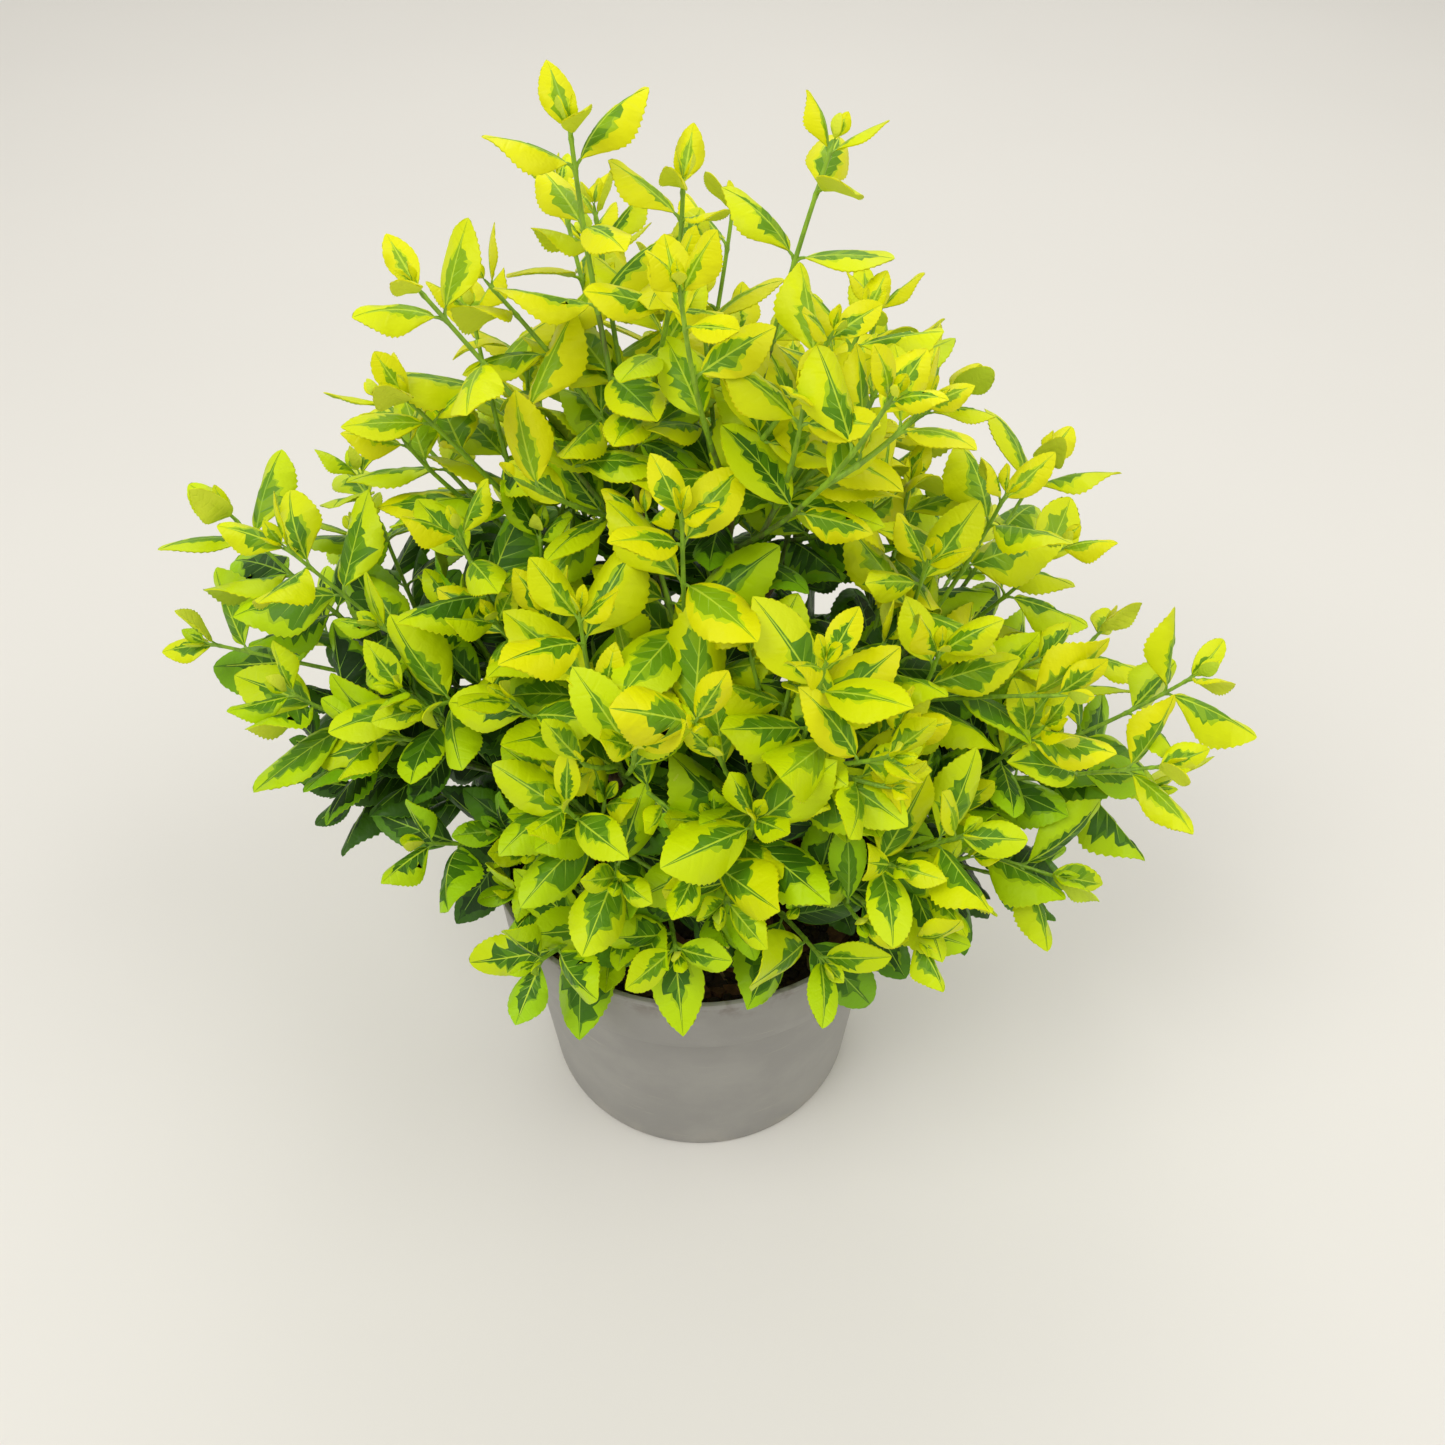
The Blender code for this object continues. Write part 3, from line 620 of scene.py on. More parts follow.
class Stem:
    def __init__(self, azimuth, foot, fork, height):
        start = around(azimuth, foot, plant["soilLevel"] + plant["gap"])
        self.path = Path(start, around(azimuth, fork, height), plant["stemBow"])

    def radiusAt(self, distance):
        share = distance / self.path.length
        return plant["stemFootRadius"] + (plant["stemForkRadius"] - plant["stemFootRadius"]) * share

    def seat(self, height, tip):
        # a place on the stem's side at a height, and the way out of it towards the tip
        distance = 0.0
        while self.path.at(distance).z < height and distance < self.path.length:
            distance += 0.0005
        axis, centre = self.path.along(distance), self.path.at(distance)
        out = tip - centre
        out = (out - axis * out.dot(axis)).normalized()
        return centre + out * self.radiusAt(distance) * 0.6


class Shoot:
    # a bare bough from its stem, then the part that carries twigs and leaves
    def __init__(self, name, stem, start, tip, bow):
        self.name, self.stem = name, stem
        self.path = Path(start, tip, bow)
        self.boughEnd = self.path.length - min(plant["leafyShare"] * self.path.length, plant["longestLeafy"])
        self.leafyStart = self.boughEnd + plant["gap"]
        reach = self.path.length - 0.010 - self.leafyStart
        self.sites = [self.path.at(self.leafyStart + reach * i / (plant["sites"] - 1)) for i in range(plant["sites"])]


def planPlant():
    stems = {name: Stem(*sizes) for name, sizes in plant["stems"].items()}
    shoots = []
    for name, stem in stems.items():
        carried = sorted((row[3], key) for key, row in plant["shoots"].items() if row[0] == name)
        top = plant["stems"][name][3]
        for place, (_, key) in enumerate(carried):
            _, azimuth, distance, height, bow = plant["shoots"][key]
            tip = around(azimuth, distance, height)
            if place == len(carried) - 1:
                start = stem.path.at(stem.path.length)
            else:
                share = place / (len(carried) - 1)
                start = stem.seat(plant["lowestBranch"] + (top - plant["lowestBranch"]) * share, tip)
            shoots.append(Shoot(key, name, start, tip, bow))
    return stems, shoots


stems, shoots = planPlant()
print("planned", len(stems), "stems and", len(shoots), "shoots")

bark = {
    "sides": 18, "spacing": 0.0016, "furrow": 0.13, "knots": 0.10, "boughSides": 12, "boughFurrow": 0.06,
    "brown": shade(124, 98, 70), "grey": shade(140, 124, 98), "dark": shade(66, 48, 34),
    "green": shade(128, 152, 58), "olive": shade(104, 116, 56),
}


def barkFinish():
    look = Finish("woodyBark", bark["brown"], 0.85)
    strips = look.place.grain(420.0, 4.0, 0.65, (1.0, 1.0, 0.16))
    colour = strips.step(0.40, 0.66).mix(bark["dark"], bark["brown"])
    lichen = look.place.grain(160.0, 3.0).step(0.50, 0.68)
    look.feed("Base Color", (lichen * 0.7).mix(colour, bark["grey"]))
    look.bump(strips, 0.0007, 0.9)
    return look.material


def greenBarkFinish(name, light, deep):
    look = Finish(name, light, 0.5)
    streaks = look.place.grain(500.0, 3.0, 0.6, (1.0, 1.0, 0.22))
    look.feed("Base Color", streaks.step(0.36, 0.64).mix(deep, light))
    look.bump(streaks, 0.0002, 0.6)
    return look.material


def barkRelief(seed, furrow):
    def relief(ring, side):
        turn = math.tau * side / bark["sides"]
        around3 = Vector((math.cos(turn) * 2.4, math.sin(turn) * 2.4, ring * 0.13 + seed * 7.7))
        fine = Vector((math.cos(turn) * 6.0, math.sin(turn) * 6.0, ring * 0.35 + seed * 3.1))
        return 1.0 + furrow * noise.noise(around3) + furrow * 0.8 * noise.noise(fine)
    return relief


def makeLimbs():
    wood = Bundle()
    for number, stem in enumerate(stems.values()):
        rings = max(8, round(stem.path.length / bark["spacing"]))
        places = [stem.path.length * i / rings for i in range(rings + 1)]
        radii = []
        for s in places:
            flare = 1.0 + (plant["stemFlare"] - 1.0) * max(0.0, 1 - s / 0.010) ** 2
            radii.append(stem.radiusAt(s) * flare)
        centres = [stem.path.at(s) for s in places]
        points = tubePoints(centres, radii, bark["sides"], barkRelief(number, bark["furrow"]), True)
        faces = tubeFaces(len(places), bark["sides"])
        wood.add(points, faces, [0] * len(faces))
    piece = addPiece("woodyStems", wood.mesh("woodyStems", 70), [barkFinish()])
    placePiece(piece, list(plant["stems"]))

    green, rng = Bundle(), random.Random(5)
    for number, shoot in enumerate(shoots):
        rings = max(4, round((shoot.boughEnd + 0.002) / (bark["spacing"] * 1.5)))
        places = [(shoot.boughEnd + 0.002) * i / rings for i in range(rings + 1)]
        radii = [plant["boughRadius"] + (plant["boughTipRadius"] - plant["boughRadius"]) * s / places[-1] for s in places]
        points = tubePoints([shoot.path.at(s) for s in places], radii, bark["boughSides"], barkRelief(number + 20, bark["boughFurrow"]))
        faces = tubeFaces(len(places), bark["boughSides"])
        # woody by the stem, olive between, green where the leaves begin
        slots = []
        for face in range(len(faces)):
            share = min(face // bark["boughSides"], rings) / rings + rng.uniform(-0.12, 0.12)
            slots.append(0 if share < 0.30 else 1 if share < 0.62 else 2)
        green.add(points, faces, slots)
    looks = [barkFinish(), greenBarkFinish("oliveBark", bark["olive"], bark["brown"]), greenBarkFinish("greenBark", bark["green"], bark["olive"])]
    piece = addPiece("greenBoughs", green.mesh("greenBoughs", 70), looks)
    placePiece(piece, ["bough_" + shoot.name for shoot in shoots])


makeLimbs()
print("stems and boughs are made")


# Growth: twigs that branch by a seeded rule, with leaves in crosswise pairs

growth = {
    "seed": 31,
    "pairPlaces": (0.0006, 0.0040, 0.0130, 0.0300, 0.0505, 0.0720, 0.0940, 0.1160, 0.1380, 0.1600),
    "leafLengths": (0.0095, 0.0220, 0.0325, 0.0370, 0.0375, 0.0370, 0.0360, 0.0345, 0.0330, 0.0320),
    "leanings": (16, 38, 58, 66, 70, 73, 75, 76, 77, 78),
    # where the light comes from at the crown's front and at its back, how steeply towards it a leaf
    # of each pair may rise, as a sine, and how far it may droop
    "frontLight": Vector((0.08, -0.48, 1.0)), "backLight": Vector((0.04, 0.10, 1.0)),
    "lightTurnsFrom": -0.01, "lightTurnsOver": 0.11,
    "steepest": (1.0, 0.86, 0.62, 0.46, 0.40, 0.36, 0.34, 0.34, 0.34, 0.34), "droop": -0.40,
    "leafWidth": 0.52, "faceLight": 1.3, "faceOut": 0.30, "leastLean": 14, "endRoom": 0.024, "reach": 0.009,
    "otherEndRooms": {"top_left": 0.013, "top_right": 0.013},
    "stalk": 0.0030,
    # the leaves get smaller by this share from this height on
    "topSmaller": 0.20, "topFrom": 0.25, "topOver": 0.08,
    # each try to place a leaf: its length, its lean in degrees, and a swing and a roll round the twig
    "tries": ((1.0, 0, 0.0, 0.0), (0.96, -12, 0.0, 0.2), (0.96, 8, 0.30, -0.2), (0.90, -16, -0.30, 0.1),
              (0.86, 12, -0.2, 0.4), (0.80, -6, 0.45, 0.0), (0.74, 0, -0.5, -0.4)),
    "twigRadius": 0.00096, "twigTipRadius": 0.00064, "mainTwig": 1.25, "twigAngle": 33, "angleSpread": 14,
    "liftTwig": 0.16, "twigBow": 0.06, "twigLengths": (0.125, 0.105, 0.088, 0.072, 0.058, 0.045, 0.034),
    "twigRoom": 0.90, "bareTip": 0.055,
    # how far behind its tip the first twigs of a slender shoot stand
    "slender": {"top_left": 0.115, "top_right": 0.115, "right": 0.105, "right_back": 0.085, "right_high": 0.070,
                "right_low": 0.080, "right_front": 0.065, "left_back": 0.100, "left": 0.075},
    "rounds": 11, "looks": 12, "apart": 0.0070,
    # the shoots with fewer or more twigs than that
    "otherRounds": {"right": 4, "right_back": 5, "right_high": 5, "right_low": 4, "right_front": 7, "left": 6,
                    "left_back": 5, "left_high": 7, "front_left": 8, "front_middle": 7, "front_low": 8,
                    "front_right": 14, "front_left_low": 8, "left_low": 8, "upper_left": 8,
                    "crown_middle": 7, "front_left_high": 8, "upper_back": 7, "back": 8, "back_left": 7,
                    "left_back_low": 9},
    # the lift of the twigs on shoots that hang over the pot's rim or stand off it
    "otherLifts": {"front_right": -0.16, "front_left_low": 0.34, "left_low": 0.30},
    # further than this from the crown's heart the twigs stand more and more apart
    "heart": Vector((0, 0, 0.20)), "denseTo": 0.095, "opening": 0.075,
    "intrusion": 0.016, "limbMargin": 0.0012, "rimMargin": 0.0015,
    "clearRoot": 0.16, "shortTwig": 0.022, "potRadius": 0.0796, "potHeight": 0.1265,
}


def pierce(starts, ends, corners):
    # a table of which straight lines pass through which triangles
    p, q, r = corners[:, 0], corners[:, 1], corners[:, 2]
    normal = np.cross(q - p, r - p)
    offset = np.einsum("tk,tk->t", p, normal)
    before, after = starts @ normal.T - offset, ends @ normal.T - offset
    hit = before * after < 0
    if not hit.any():
        return hit
    share = np.where(hit, before / np.where(hit, before - after, 1.0), 0.0)
    x = starts[:, None] + (ends - starts)[:, None] * share[..., None]
    for u, v in ((p, q), (q, r), (r, p)):
        hit &= np.einsum("ltk,tk->lt", np.cross((v - u)[None], x - u[None]), normal) >= 0
    return hit


class Space:
    # tells whether points keep to one shoot's space, clear of every limb and of the pot
    def __init__(self):
        self.sites = np.array([site for shoot in shoots for site in shoot.sites])
        self.owner = np.array([i for i, shoot in enumerate(shoots) for _ in shoot.sites])
        limbs = []
        for shoot in shoots:
            for i in range(15):
                share = i / 14
                radius = plant["boughRadius"] + (plant["boughTipRadius"] - plant["boughRadius"]) * share
                limbs.append((*shoot.path.at(shoot.boughEnd * share * 0.97), radius))
        for stem in stems.values():
            for i in range(17):
                s = stem.path.length * i / 16
                limbs.append((*stem.path.at(s), stem.radiusAt(s) * 1.2))
        limbs = np.array(limbs)
        self.limbs, self.reach = limbs[:, :3], limbs[:, 3] + growth["limbMargin"]
        self.low, self.high = np.array(cadBox[0]) - growth["reach"], np.array(cadBox[1]) + growth["reach"]

    def holds(self, points, own):
        if (points < self.low).any() or (points > self.high).any():
            return False
        radius = np.hypot(points[:, 0], points[:, 1])
        low = points[:, 2] < growth["potHeight"] + growth["rimMargin"]
        if (low & (radius < growth["potRadius"] + growth["rimMargin"])).any():
            return False
        if (np.linalg.norm(points[:, None] - self.limbs[None], axis=2) < self.reach).any():
            return False
        far = np.linalg.norm(points[:, None] - self.sites[None], axis=2)
        mine = far[:, self.owner == own].min(axis=1)
        other = far[:, self.owner != own].min(axis=1)
        return bool((mine < other + growth["intrusion"]).all())


class Crown:
    # every leaf and twig so far, for keeping new ones clear of them
    def __init__(self):
        self.leaves, self.centres, self.sizes = [], [], []
        self.halves, self.edges = [], []
        self.runStarts, self.runEnds = [], []
        self.fresh = False

    def freeze(self):
        if not self.fresh:
            self.centreTable = np.array(self.centres)
            self.sizeTable = np.array(self.sizes)
            self.startTable, self.endTable = np.array(self.runStarts), np.array(self.runEnds)
            self.fresh = True

    def addRuns(self, marks):
        self.runStarts += [tuple(m) for m in marks[:-1]]
        self.runEnds += [tuple(m) for m in marks[1:]]
        self.fresh = False

    def isFree(self, leaf):
        self.freeze()
        if len(self.startTable):
            middle = (self.startTable + self.endTable) / 2
            near = np.linalg.norm(middle - leaf["centre"], axis=1) < leaf["length"] * 0.62 + 0.005
            if near.any() and pierce(self.startTable[near], self.endTable[near], leaf["halves"]).any():
                return False
        if not self.leaves:
            return True
        gap = np.linalg.norm(self.centreTable - leaf["centre"], axis=1)
        near = np.nonzero(gap < (self.sizeTable + leaf["length"]) * 0.55)[0]
        if not len(near):
            return True
        halves = np.concatenate([self.halves[i] for i in near])
        edges = np.concatenate([self.edges[i] for i in near])
        own = leaf["edges"]
        if pierce(own[:, 0], own[:, 1], halves).any():
            return False
        return not pierce(edges[:, 0], edges[:, 1], leaf["halves"]).any()

    def addLeaf(self, leaf):
        self.leaves.append(leaf)
        self.centres.append(leaf["centre"])
        self.sizes.append(leaf["length"])
        self.halves.append(leaf["halves"])
        self.edges.append(leaf["edges"])
        self.fresh = False


def plannedLeaf(node, axis, direction, face, length, width):
    # a leaf's frame, and the flat outline by which it is kept clear of others
    direction = direction.normalized()
    face = (face - direction * face.dot(direction)).normalized()
    across = direction.cross(face)
    lead = (axis * 0.5 + direction).normalized()
    root = node + lead * growth["stalk"] * min(1.0, length / 0.02)
    tip = root + direction * length
    spread = across * (length * width / 2)
    middle = root + direction * (length * 0.46)
    left, right = middle + spread, middle - spread
    free = root.lerp(tip, growth["clearRoot"])
    ring = [free, left, tip, right]
    edges = [*zip(ring, ring[1:] + ring[:1]), (free, tip)]
    samples = [root.lerp(tip, s) for s in (0.3, 0.6, 1.0)] + [left, right, left.lerp(tip, 0.5), right.lerp(tip, 0.5)]
    return {
        "node": node, "axis": axis, "root": root, "direction": direction, "face": face, "across": across,
        "length": length, "width": width, "centre": np.array(root + direction * (length / 2)),
        "halves": np.array([(free, left, tip), (free, tip, right)]), "edges": np.array(edges),
        "samples": np.array(samples),
    }


def lightAt(place):
    share = min(max((place.y - growth["lightTurnsFrom"]) / growth["lightTurnsOver"], 0.0), 1.0)
    return growth["frontLight"].lerp(growth["backLight"], share).normalized()


def opened(direction, light, outward, steepest):
    # a leaf's direction, laid open to the light where it would stand or hang too steeply
    rise = direction.dot(light)
    height = min(max(rise, growth["droop"]), steepest)
    level = direction + outward * max(0.0, rise - steepest) * 0.4
    level -= light * level.dot(light)
    return level.normalized() * math.sqrt(1 - height ** 2) + light * height


class Growth:
    def __init__(self, number, shoot, space, crown):
        self.number, self.shoot, self.space, self.crown = number, shoot, space, crown
        self.rng = random.Random(growth["seed"] + number)
        self.twigs, self.buds = [], []

    def start(self):
        path = self.shoot.path
        room = growth["otherEndRooms"].get(self.shoot.name, growth["endRoom"])
        self.grow(path, self.shoot.leafyStart, path.length - room, growth["twigRadius"] * growth["mainTwig"], 0)

    def grow(self, path, start, end, radius, order):
        rng = self.rng
        self.twigs.append({"path": path, "start": start, "end": end, "radius": radius, "order": order, "nodes": []})
        steps = max(2, round((end - start) / 0.008))
        self.crown.addRuns([path.at(start + (end - start) * i / steps) for i in range(steps + 1)])
        turn = rng.uniform(0, math.pi)
        stretch = rng.uniform(0.88, 1.14)
        bare = growth["slender"].get(self.shoot.name, growth["bareTip"]) if order == 0 else growth["bareTip"] * 0.8
        for place, back in enumerate(growth["pairPlaces"]):
            distance = end - back * stretch * rng.uniform(0.94, 1.06)
            if distance < start + 0.004:
                break
            node, axis = path.at(distance), path.along(distance)
            side = axis.orthogonal().normalized()
            self.twigs[-1]["nodes"].append(distance)
            for half in (0, math.pi):
                spread = Matrix.Rotation(turn + half, 3, axis) @ side
                self.addLeaf(node, axis, spread, place, order)
                if end - distance > min(bare, 0.62 * (end - start)):
                    self.buds.append((node, axis, spread, end - distance, order))
            turn += math.pi / 2 + rng.uniform(-0.25, 0.25)

    def addLeaf(self, node, axis, spread, place, order):
        rng = self.rng
        lean = growth["leanings"][place] + rng.uniform(-9, 9)
        high = min(max((node.z - growth["topFrom"]) / growth["topOver"], 0.0), 1.0)
        full = growth["leafLengths"][place] * rng.uniform(0.84, 1.08) * (1.0 if order == 0 else 0.95)
        full *= 1 - growth["topSmaller"] * high
        width = growth["leafWidth"] * rng.uniform(0.86, 1.14)
        outward = Vector((node.x, node.y, 0)).normalized()
        light = lightAt(node)
        for size, closer, swing, roll in growth["tries"]:
            angle = math.radians(max(lean + closer, growth["leastLean"]))
            aside = (spread + axis.cross(spread) * swing).normalized()
            direction = opened(axis * math.cos(angle) + aside * math.sin(angle), light, outward, growth["steepest"][place])
            face = axis * math.sin(angle) - aside * math.cos(angle)
            face = face + light * growth["faceLight"] + outward * growth["faceOut"]
            face += direction.cross(face).normalized() * roll
            leaf = plannedLeaf(node, axis, direction, face, full * size, width)
            if self.space.holds(leaf["samples"], self.number) and self.crown.isFree(leaf):
                leaf.update(place=place, order=order, shoot=self.number)
                self.crown.addLeaf(leaf)
                return

    def addTwig(self):
        # one side twig, from the bud whose twig would end in the widest gap
        rng = self.rng
        best = None
        for _ in range(growth["looks"]):
            if not self.buds:
                break
            bud = rng.choice(self.buds)
            node, axis, spread, room, order = bud
            angle = math.radians(growth["twigAngle"] + rng.uniform(-1, 1) * growth["angleSpread"])
            aside = (spread + axis.cross(spread) * rng.uniform(-0.5, 0.5)).normalized()
            heading = axis * math.cos(angle) + aside * math.sin(angle)
            lift = growth["otherLifts"].get(self.shoot.name, growth["liftTwig"])
            heading = (heading + Vector((0, 0, lift))).normalized()
            stretch = rng.uniform(0.85, 1.1)
            for longest in growth["twigLengths"]:
                length = min(longest * stretch, room * growth["twigRoom"])
                if length < growth["shortTwig"]:
                    break
                path = Path(node, node + heading * length, growth["twigBow"] * rng.uniform(-0.4, 1.0))
                gap = self.clearance([path.at(path.length * s) for s in (0.25, 0.45, 0.65, 0.85, 1.0)])
                outer = max(0.0, (path.at(path.length) - growth["heart"]).length - growth["denseTo"])
                if gap > growth["apart"] + growth["opening"] * outer:
                    worth = gap + length * 0.25
                    if best is None or worth > best[0]:
                        best = worth, bud, path, order
                    break
        if best:
            _, bud, path, order = best
            self.buds.remove(bud)
            self.grow(path, 0.0, path.length - 0.004, growth["twigRadius"], order + 1)

    def clearance(self, marks):
        # how far a planned twig's outer part lies from the twigs so far, or 0 where it can't grow
        points = np.array(marks)
        if not self.space.holds(points, self.number):
            return 0.0
        crown = self.crown
        crown.freeze()
        near = np.nonzero(np.linalg.norm(crown.centreTable - points[2], axis=1) < 0.05)[0]
        if len(near):
            halves = np.concatenate([crown.halves[i] for i in near])
            if pierce(points[:-1], points[1:], halves).any():
                return 0.0
        middle = (crown.startTable + crown.endTable) / 2
        gap = np.linalg.norm(points[1:, None] - middle[None], axis=2)
        return float(gap.min())


def growCrown():
    space, crown = Space(), Crown()
    masses = [Growth(number, shoot, space, crown) for number, shoot in enumerate(shoots)]
    for mass in masses:
        mass.start()
    rounds = {mass: growth["otherRounds"].get(mass.shoot.name, growth["rounds"]) for mass in masses}
    for turn in range(max(rounds.values())):
        for mass in masses:
            if turn < rounds[mass]:
                mass.addTwig()
    return masses, crown


masses, crown = growCrown()
print("grew", len(crown.leaves), "leaves on", sum(len(m.twigs) for m in masses), "twigs")


# Twigs and leaf stalks

twig = {
    "sides": 7, "stalkSides": 5, "spacing": 0.006, "swelling": 1.28, "stalkRadius": 0.00055,
    "young": shade(150, 190, 44), "middle": shade(122, 160, 44), "old": shade(112, 118, 58),
}


def twigTube(bundle, row):
    path, start, end = row["path"], row["start"], row["end"]
    count = max(3, round((end - start) / twig["spacing"]))
    places = [start + (end - start) * i / count for i in range(count + 1)]
    # three close rings make each joint's swelling
    joints = [n for n in row["nodes"] if start + 0.003 < n < end - 0.002]
    places = [s for s in places if all(abs(s - n) > 0.0022 for n in joints)]
    places += [n + step for n in joints for step in (-0.0014, 0.0, 0.0014)]
    places = sorted(set([start, end] + places))
    radii = []
    for s in places:
        radius = row["radius"] + (growth["twigTipRadius"] - row["radius"]) * (s - start) / (end - start)
        radii.append(radius * (twig["swelling"] if s in joints else 1.0))
    radii[-1] *= 0.5
    faces = tubeFaces(len(places), twig["sides"])
    age = 0 if row["order"] else 1
    slots = []
    for face in range(len(faces)):
        ring = min(face // twig["sides"], len(places) - 1)
        back = end - places[ring]
        slots.append(0 if back < 0.06 else 1 if back < 0.11 or not age else 2)
    bundle.add(tubePoints([path.at(s) for s in places], radii, twig["sides"]), faces, slots)


def stalkTube(bundle, leaf):
    node, root = leaf["node"], leaf["root"]
    bend = node.lerp(root, 0.55) + leaf["axis"] * 0.0004
    inside = root + leaf["direction"] * leaf["length"] * 0.05
    radius = twig["stalkRadius"] * min(1.0, leaf["length"] / 0.022)
    faces = tubeFaces(4, twig["stalkSides"])
    radii = [radius * 1.25, radius, radius * 0.9, radius * 0.4]
    bundle.add(tubePoints([node, bend, root, inside], radii, twig["stalkSides"]), faces, [0] * len(faces))


def makeTwigs():
    looks = [
        greenBarkFinish("youngTwig", twig["young"], twig["middle"]),
        greenBarkFinish("middleTwig", twig["middle"], bark["olive"]),
        greenBarkFinish("oldTwig", twig["old"], bark["brown"]),
    ]
    bundle = Bundle()
    for mass in masses:
        for row in mass.twigs:
            twigTube(bundle, row)
    for leaf in crown.leaves:
        stalkTube(bundle, leaf)
    piece = addPiece("twigsAndStalks", bundle.mesh("twigsAndStalks", 60), looks)
    placePiece(piece, [])
    print("twigs have", len(bundle.faces), "faces")


makeTwigs()


# Leaves: a toothed blade with a thin body. Its green heart, the fringe of that and the gold
# margin are strips of faces, so that each keeps a plain colour of its own

leafShape = {
    "gaps": 7, "smallGaps": 4, "smallUnder": 0.0105, "skew": 0.085, "tooth": 0.011, "toothLead": 0.012,
    "keel": 0.00120, "edge": 0.00036, "ribWidth": 0.00034, "veinWidth": 0.017, "rightLift": 0.30,
    # each row runs from light to dark. The darker colours go to leaves inside the crown, low down or on its left:
    # partly the greener leaves there, partly painted shade
    "margins": [shade(*c) for c in ((223, 224, 0), (213, 224, 0), (199, 220, 0), (182, 214, 2), (158, 202, 8), (122, 174, 14), (84, 134, 18), (56, 96, 20))],
    "hearts": [shade(*c) for c in ((136, 174, 10), (104, 150, 12), (88, 136, 14), (64, 110, 14), (46, 84, 14), (32, 62, 14))],
    "fringes": [shade(*c) for c in ((190, 212, 4), (164, 196, 8), (130, 172, 12), (88, 134, 16), (56, 96, 18))],
    "ribs": [shade(*c) for c in ((186, 212, 50), (154, 192, 56), (120, 160, 60))],
    # the undersides are partly their own pale green, partly painted light shining through the leaf
    "backs": [shade(*c) for c in ((228, 238, 66), (204, 226, 60), (166, 200, 58), (124, 166, 54))],
}


def bladeTopology(gaps):
    # corner numbers, then each face's corners, its zone and its place along the blade. Both sides of
    # the fringe have two corners between the rows, and the blade's edge has two teeth there. Side
    # veins cross the heart as slivers
    number, faces, zones, places = {}, [], [], []

    def corner(kind, row, side, step=0):
        if row == 0 and step == 0:
            kind, side = "base", 0
        if row == gaps:
            kind, side = "tip", 0
        return number.setdefault((kind, row, side, step), len(number))

    def line(kind, gap, side, steps):
        return [corner(kind, gap, side, step) for step in range(steps)] + [corner(kind, gap + 1, side)]

    def put(ahead, back, side, zone, gap):
        face = list(dict.fromkeys(back + ahead[::-1]))
        faces.append(tuple(face if side > 0 else reversed(face)))
        zones.append(zone)
        places.append((gap + 0.5) / gaps)

    for gap in range(gaps):
        ribs = {side: line("rib", gap, side, 1) for side in (-1, 1)}
        veined = 0 < gap < gaps - 2
        for side in (1, -1):
            rib, heart, fringe = ribs[side], line("heart", gap, side, 3), line("fringe", gap, side, 3)
            edge, lip = line("edge", gap, side, 4), line("lip", gap, side, 4)
            if veined:
                fork = corner("vein", gap, side)
                put([rib[0]], heart[:3], side, 1, gap)
                put([rib[0], fork], [heart[2]], side, 6, gap)
                put([fork, rib[1]], heart[2:], side, 1, gap)
                rib.insert(1, fork)
            else:
                put(rib, heart, side, 1, gap)
            put(heart, fringe, side, 2, gap)
            put(fringe, edge, side, 3, gap)
            put(edge, lip, side, 4, gap)
            put(lip, line("under", gap, 0, 1), side, 5, gap)
        put(ribs[-1], ribs[1], 1, 0, gap)
    return number, faces, np.array(zones), np.array(places)


def leafTraits(leaves, rng):
    # for each leaf how shaded it is, by the leaves that stand before it towards the light, how young, how low it hangs,
    # and how high it stands in the top
    centres = np.array([leaf["centre"] for leaf in leaves])
    apart = centres[None] - centres[:, None]
    far = np.linalg.norm(apart, axis=2)
    outward = centres * np.array([1.0, 1.0, 0.0])
    outward /= np.linalg.norm(outward, axis=1, keepdims=True)
    light = outward * 0.70 + np.array([0.04, -0.22, 1.0])
    light /= np.linalg.norm(light, axis=1, keepdims=True)
    ahead = np.einsum("ijk,ik->ij", apart, light)
    cover = ((far > 0.001) & (far < 0.10) & (ahead > far * 0.84)).sum(axis=1)
    rank = np.argsort(np.argsort(cover + rng.normal(0, 1.2, len(leaves)))) / len(leaves)
    place = np.array([leaf["place"] for leaf in leaves])
    young = np.clip(1.0 - place / 4.0, 0, 1)
    # the crown's left side counts as lower than its right, as the side away from the light
    low = np.clip((0.29 - centres[:, 2] - centres[:, 0] * leafShape["rightLift"]) / 0.16, 0, 1.2)
    high = np.clip((centres[:, 2] - 0.23) / 0.09, 0, 1)
    # the shade that darkens a leaf's colours, partly the greener leaves inside the crown and partly painted shade; low
    # leaves get more of it and the top less
    shaded = np.clip((rank - 0.59 + 0.30 * low) / 0.40, 0, 1.2) * 1.6 * (1 - 0.55 * high)
    return shaded, young, low, high


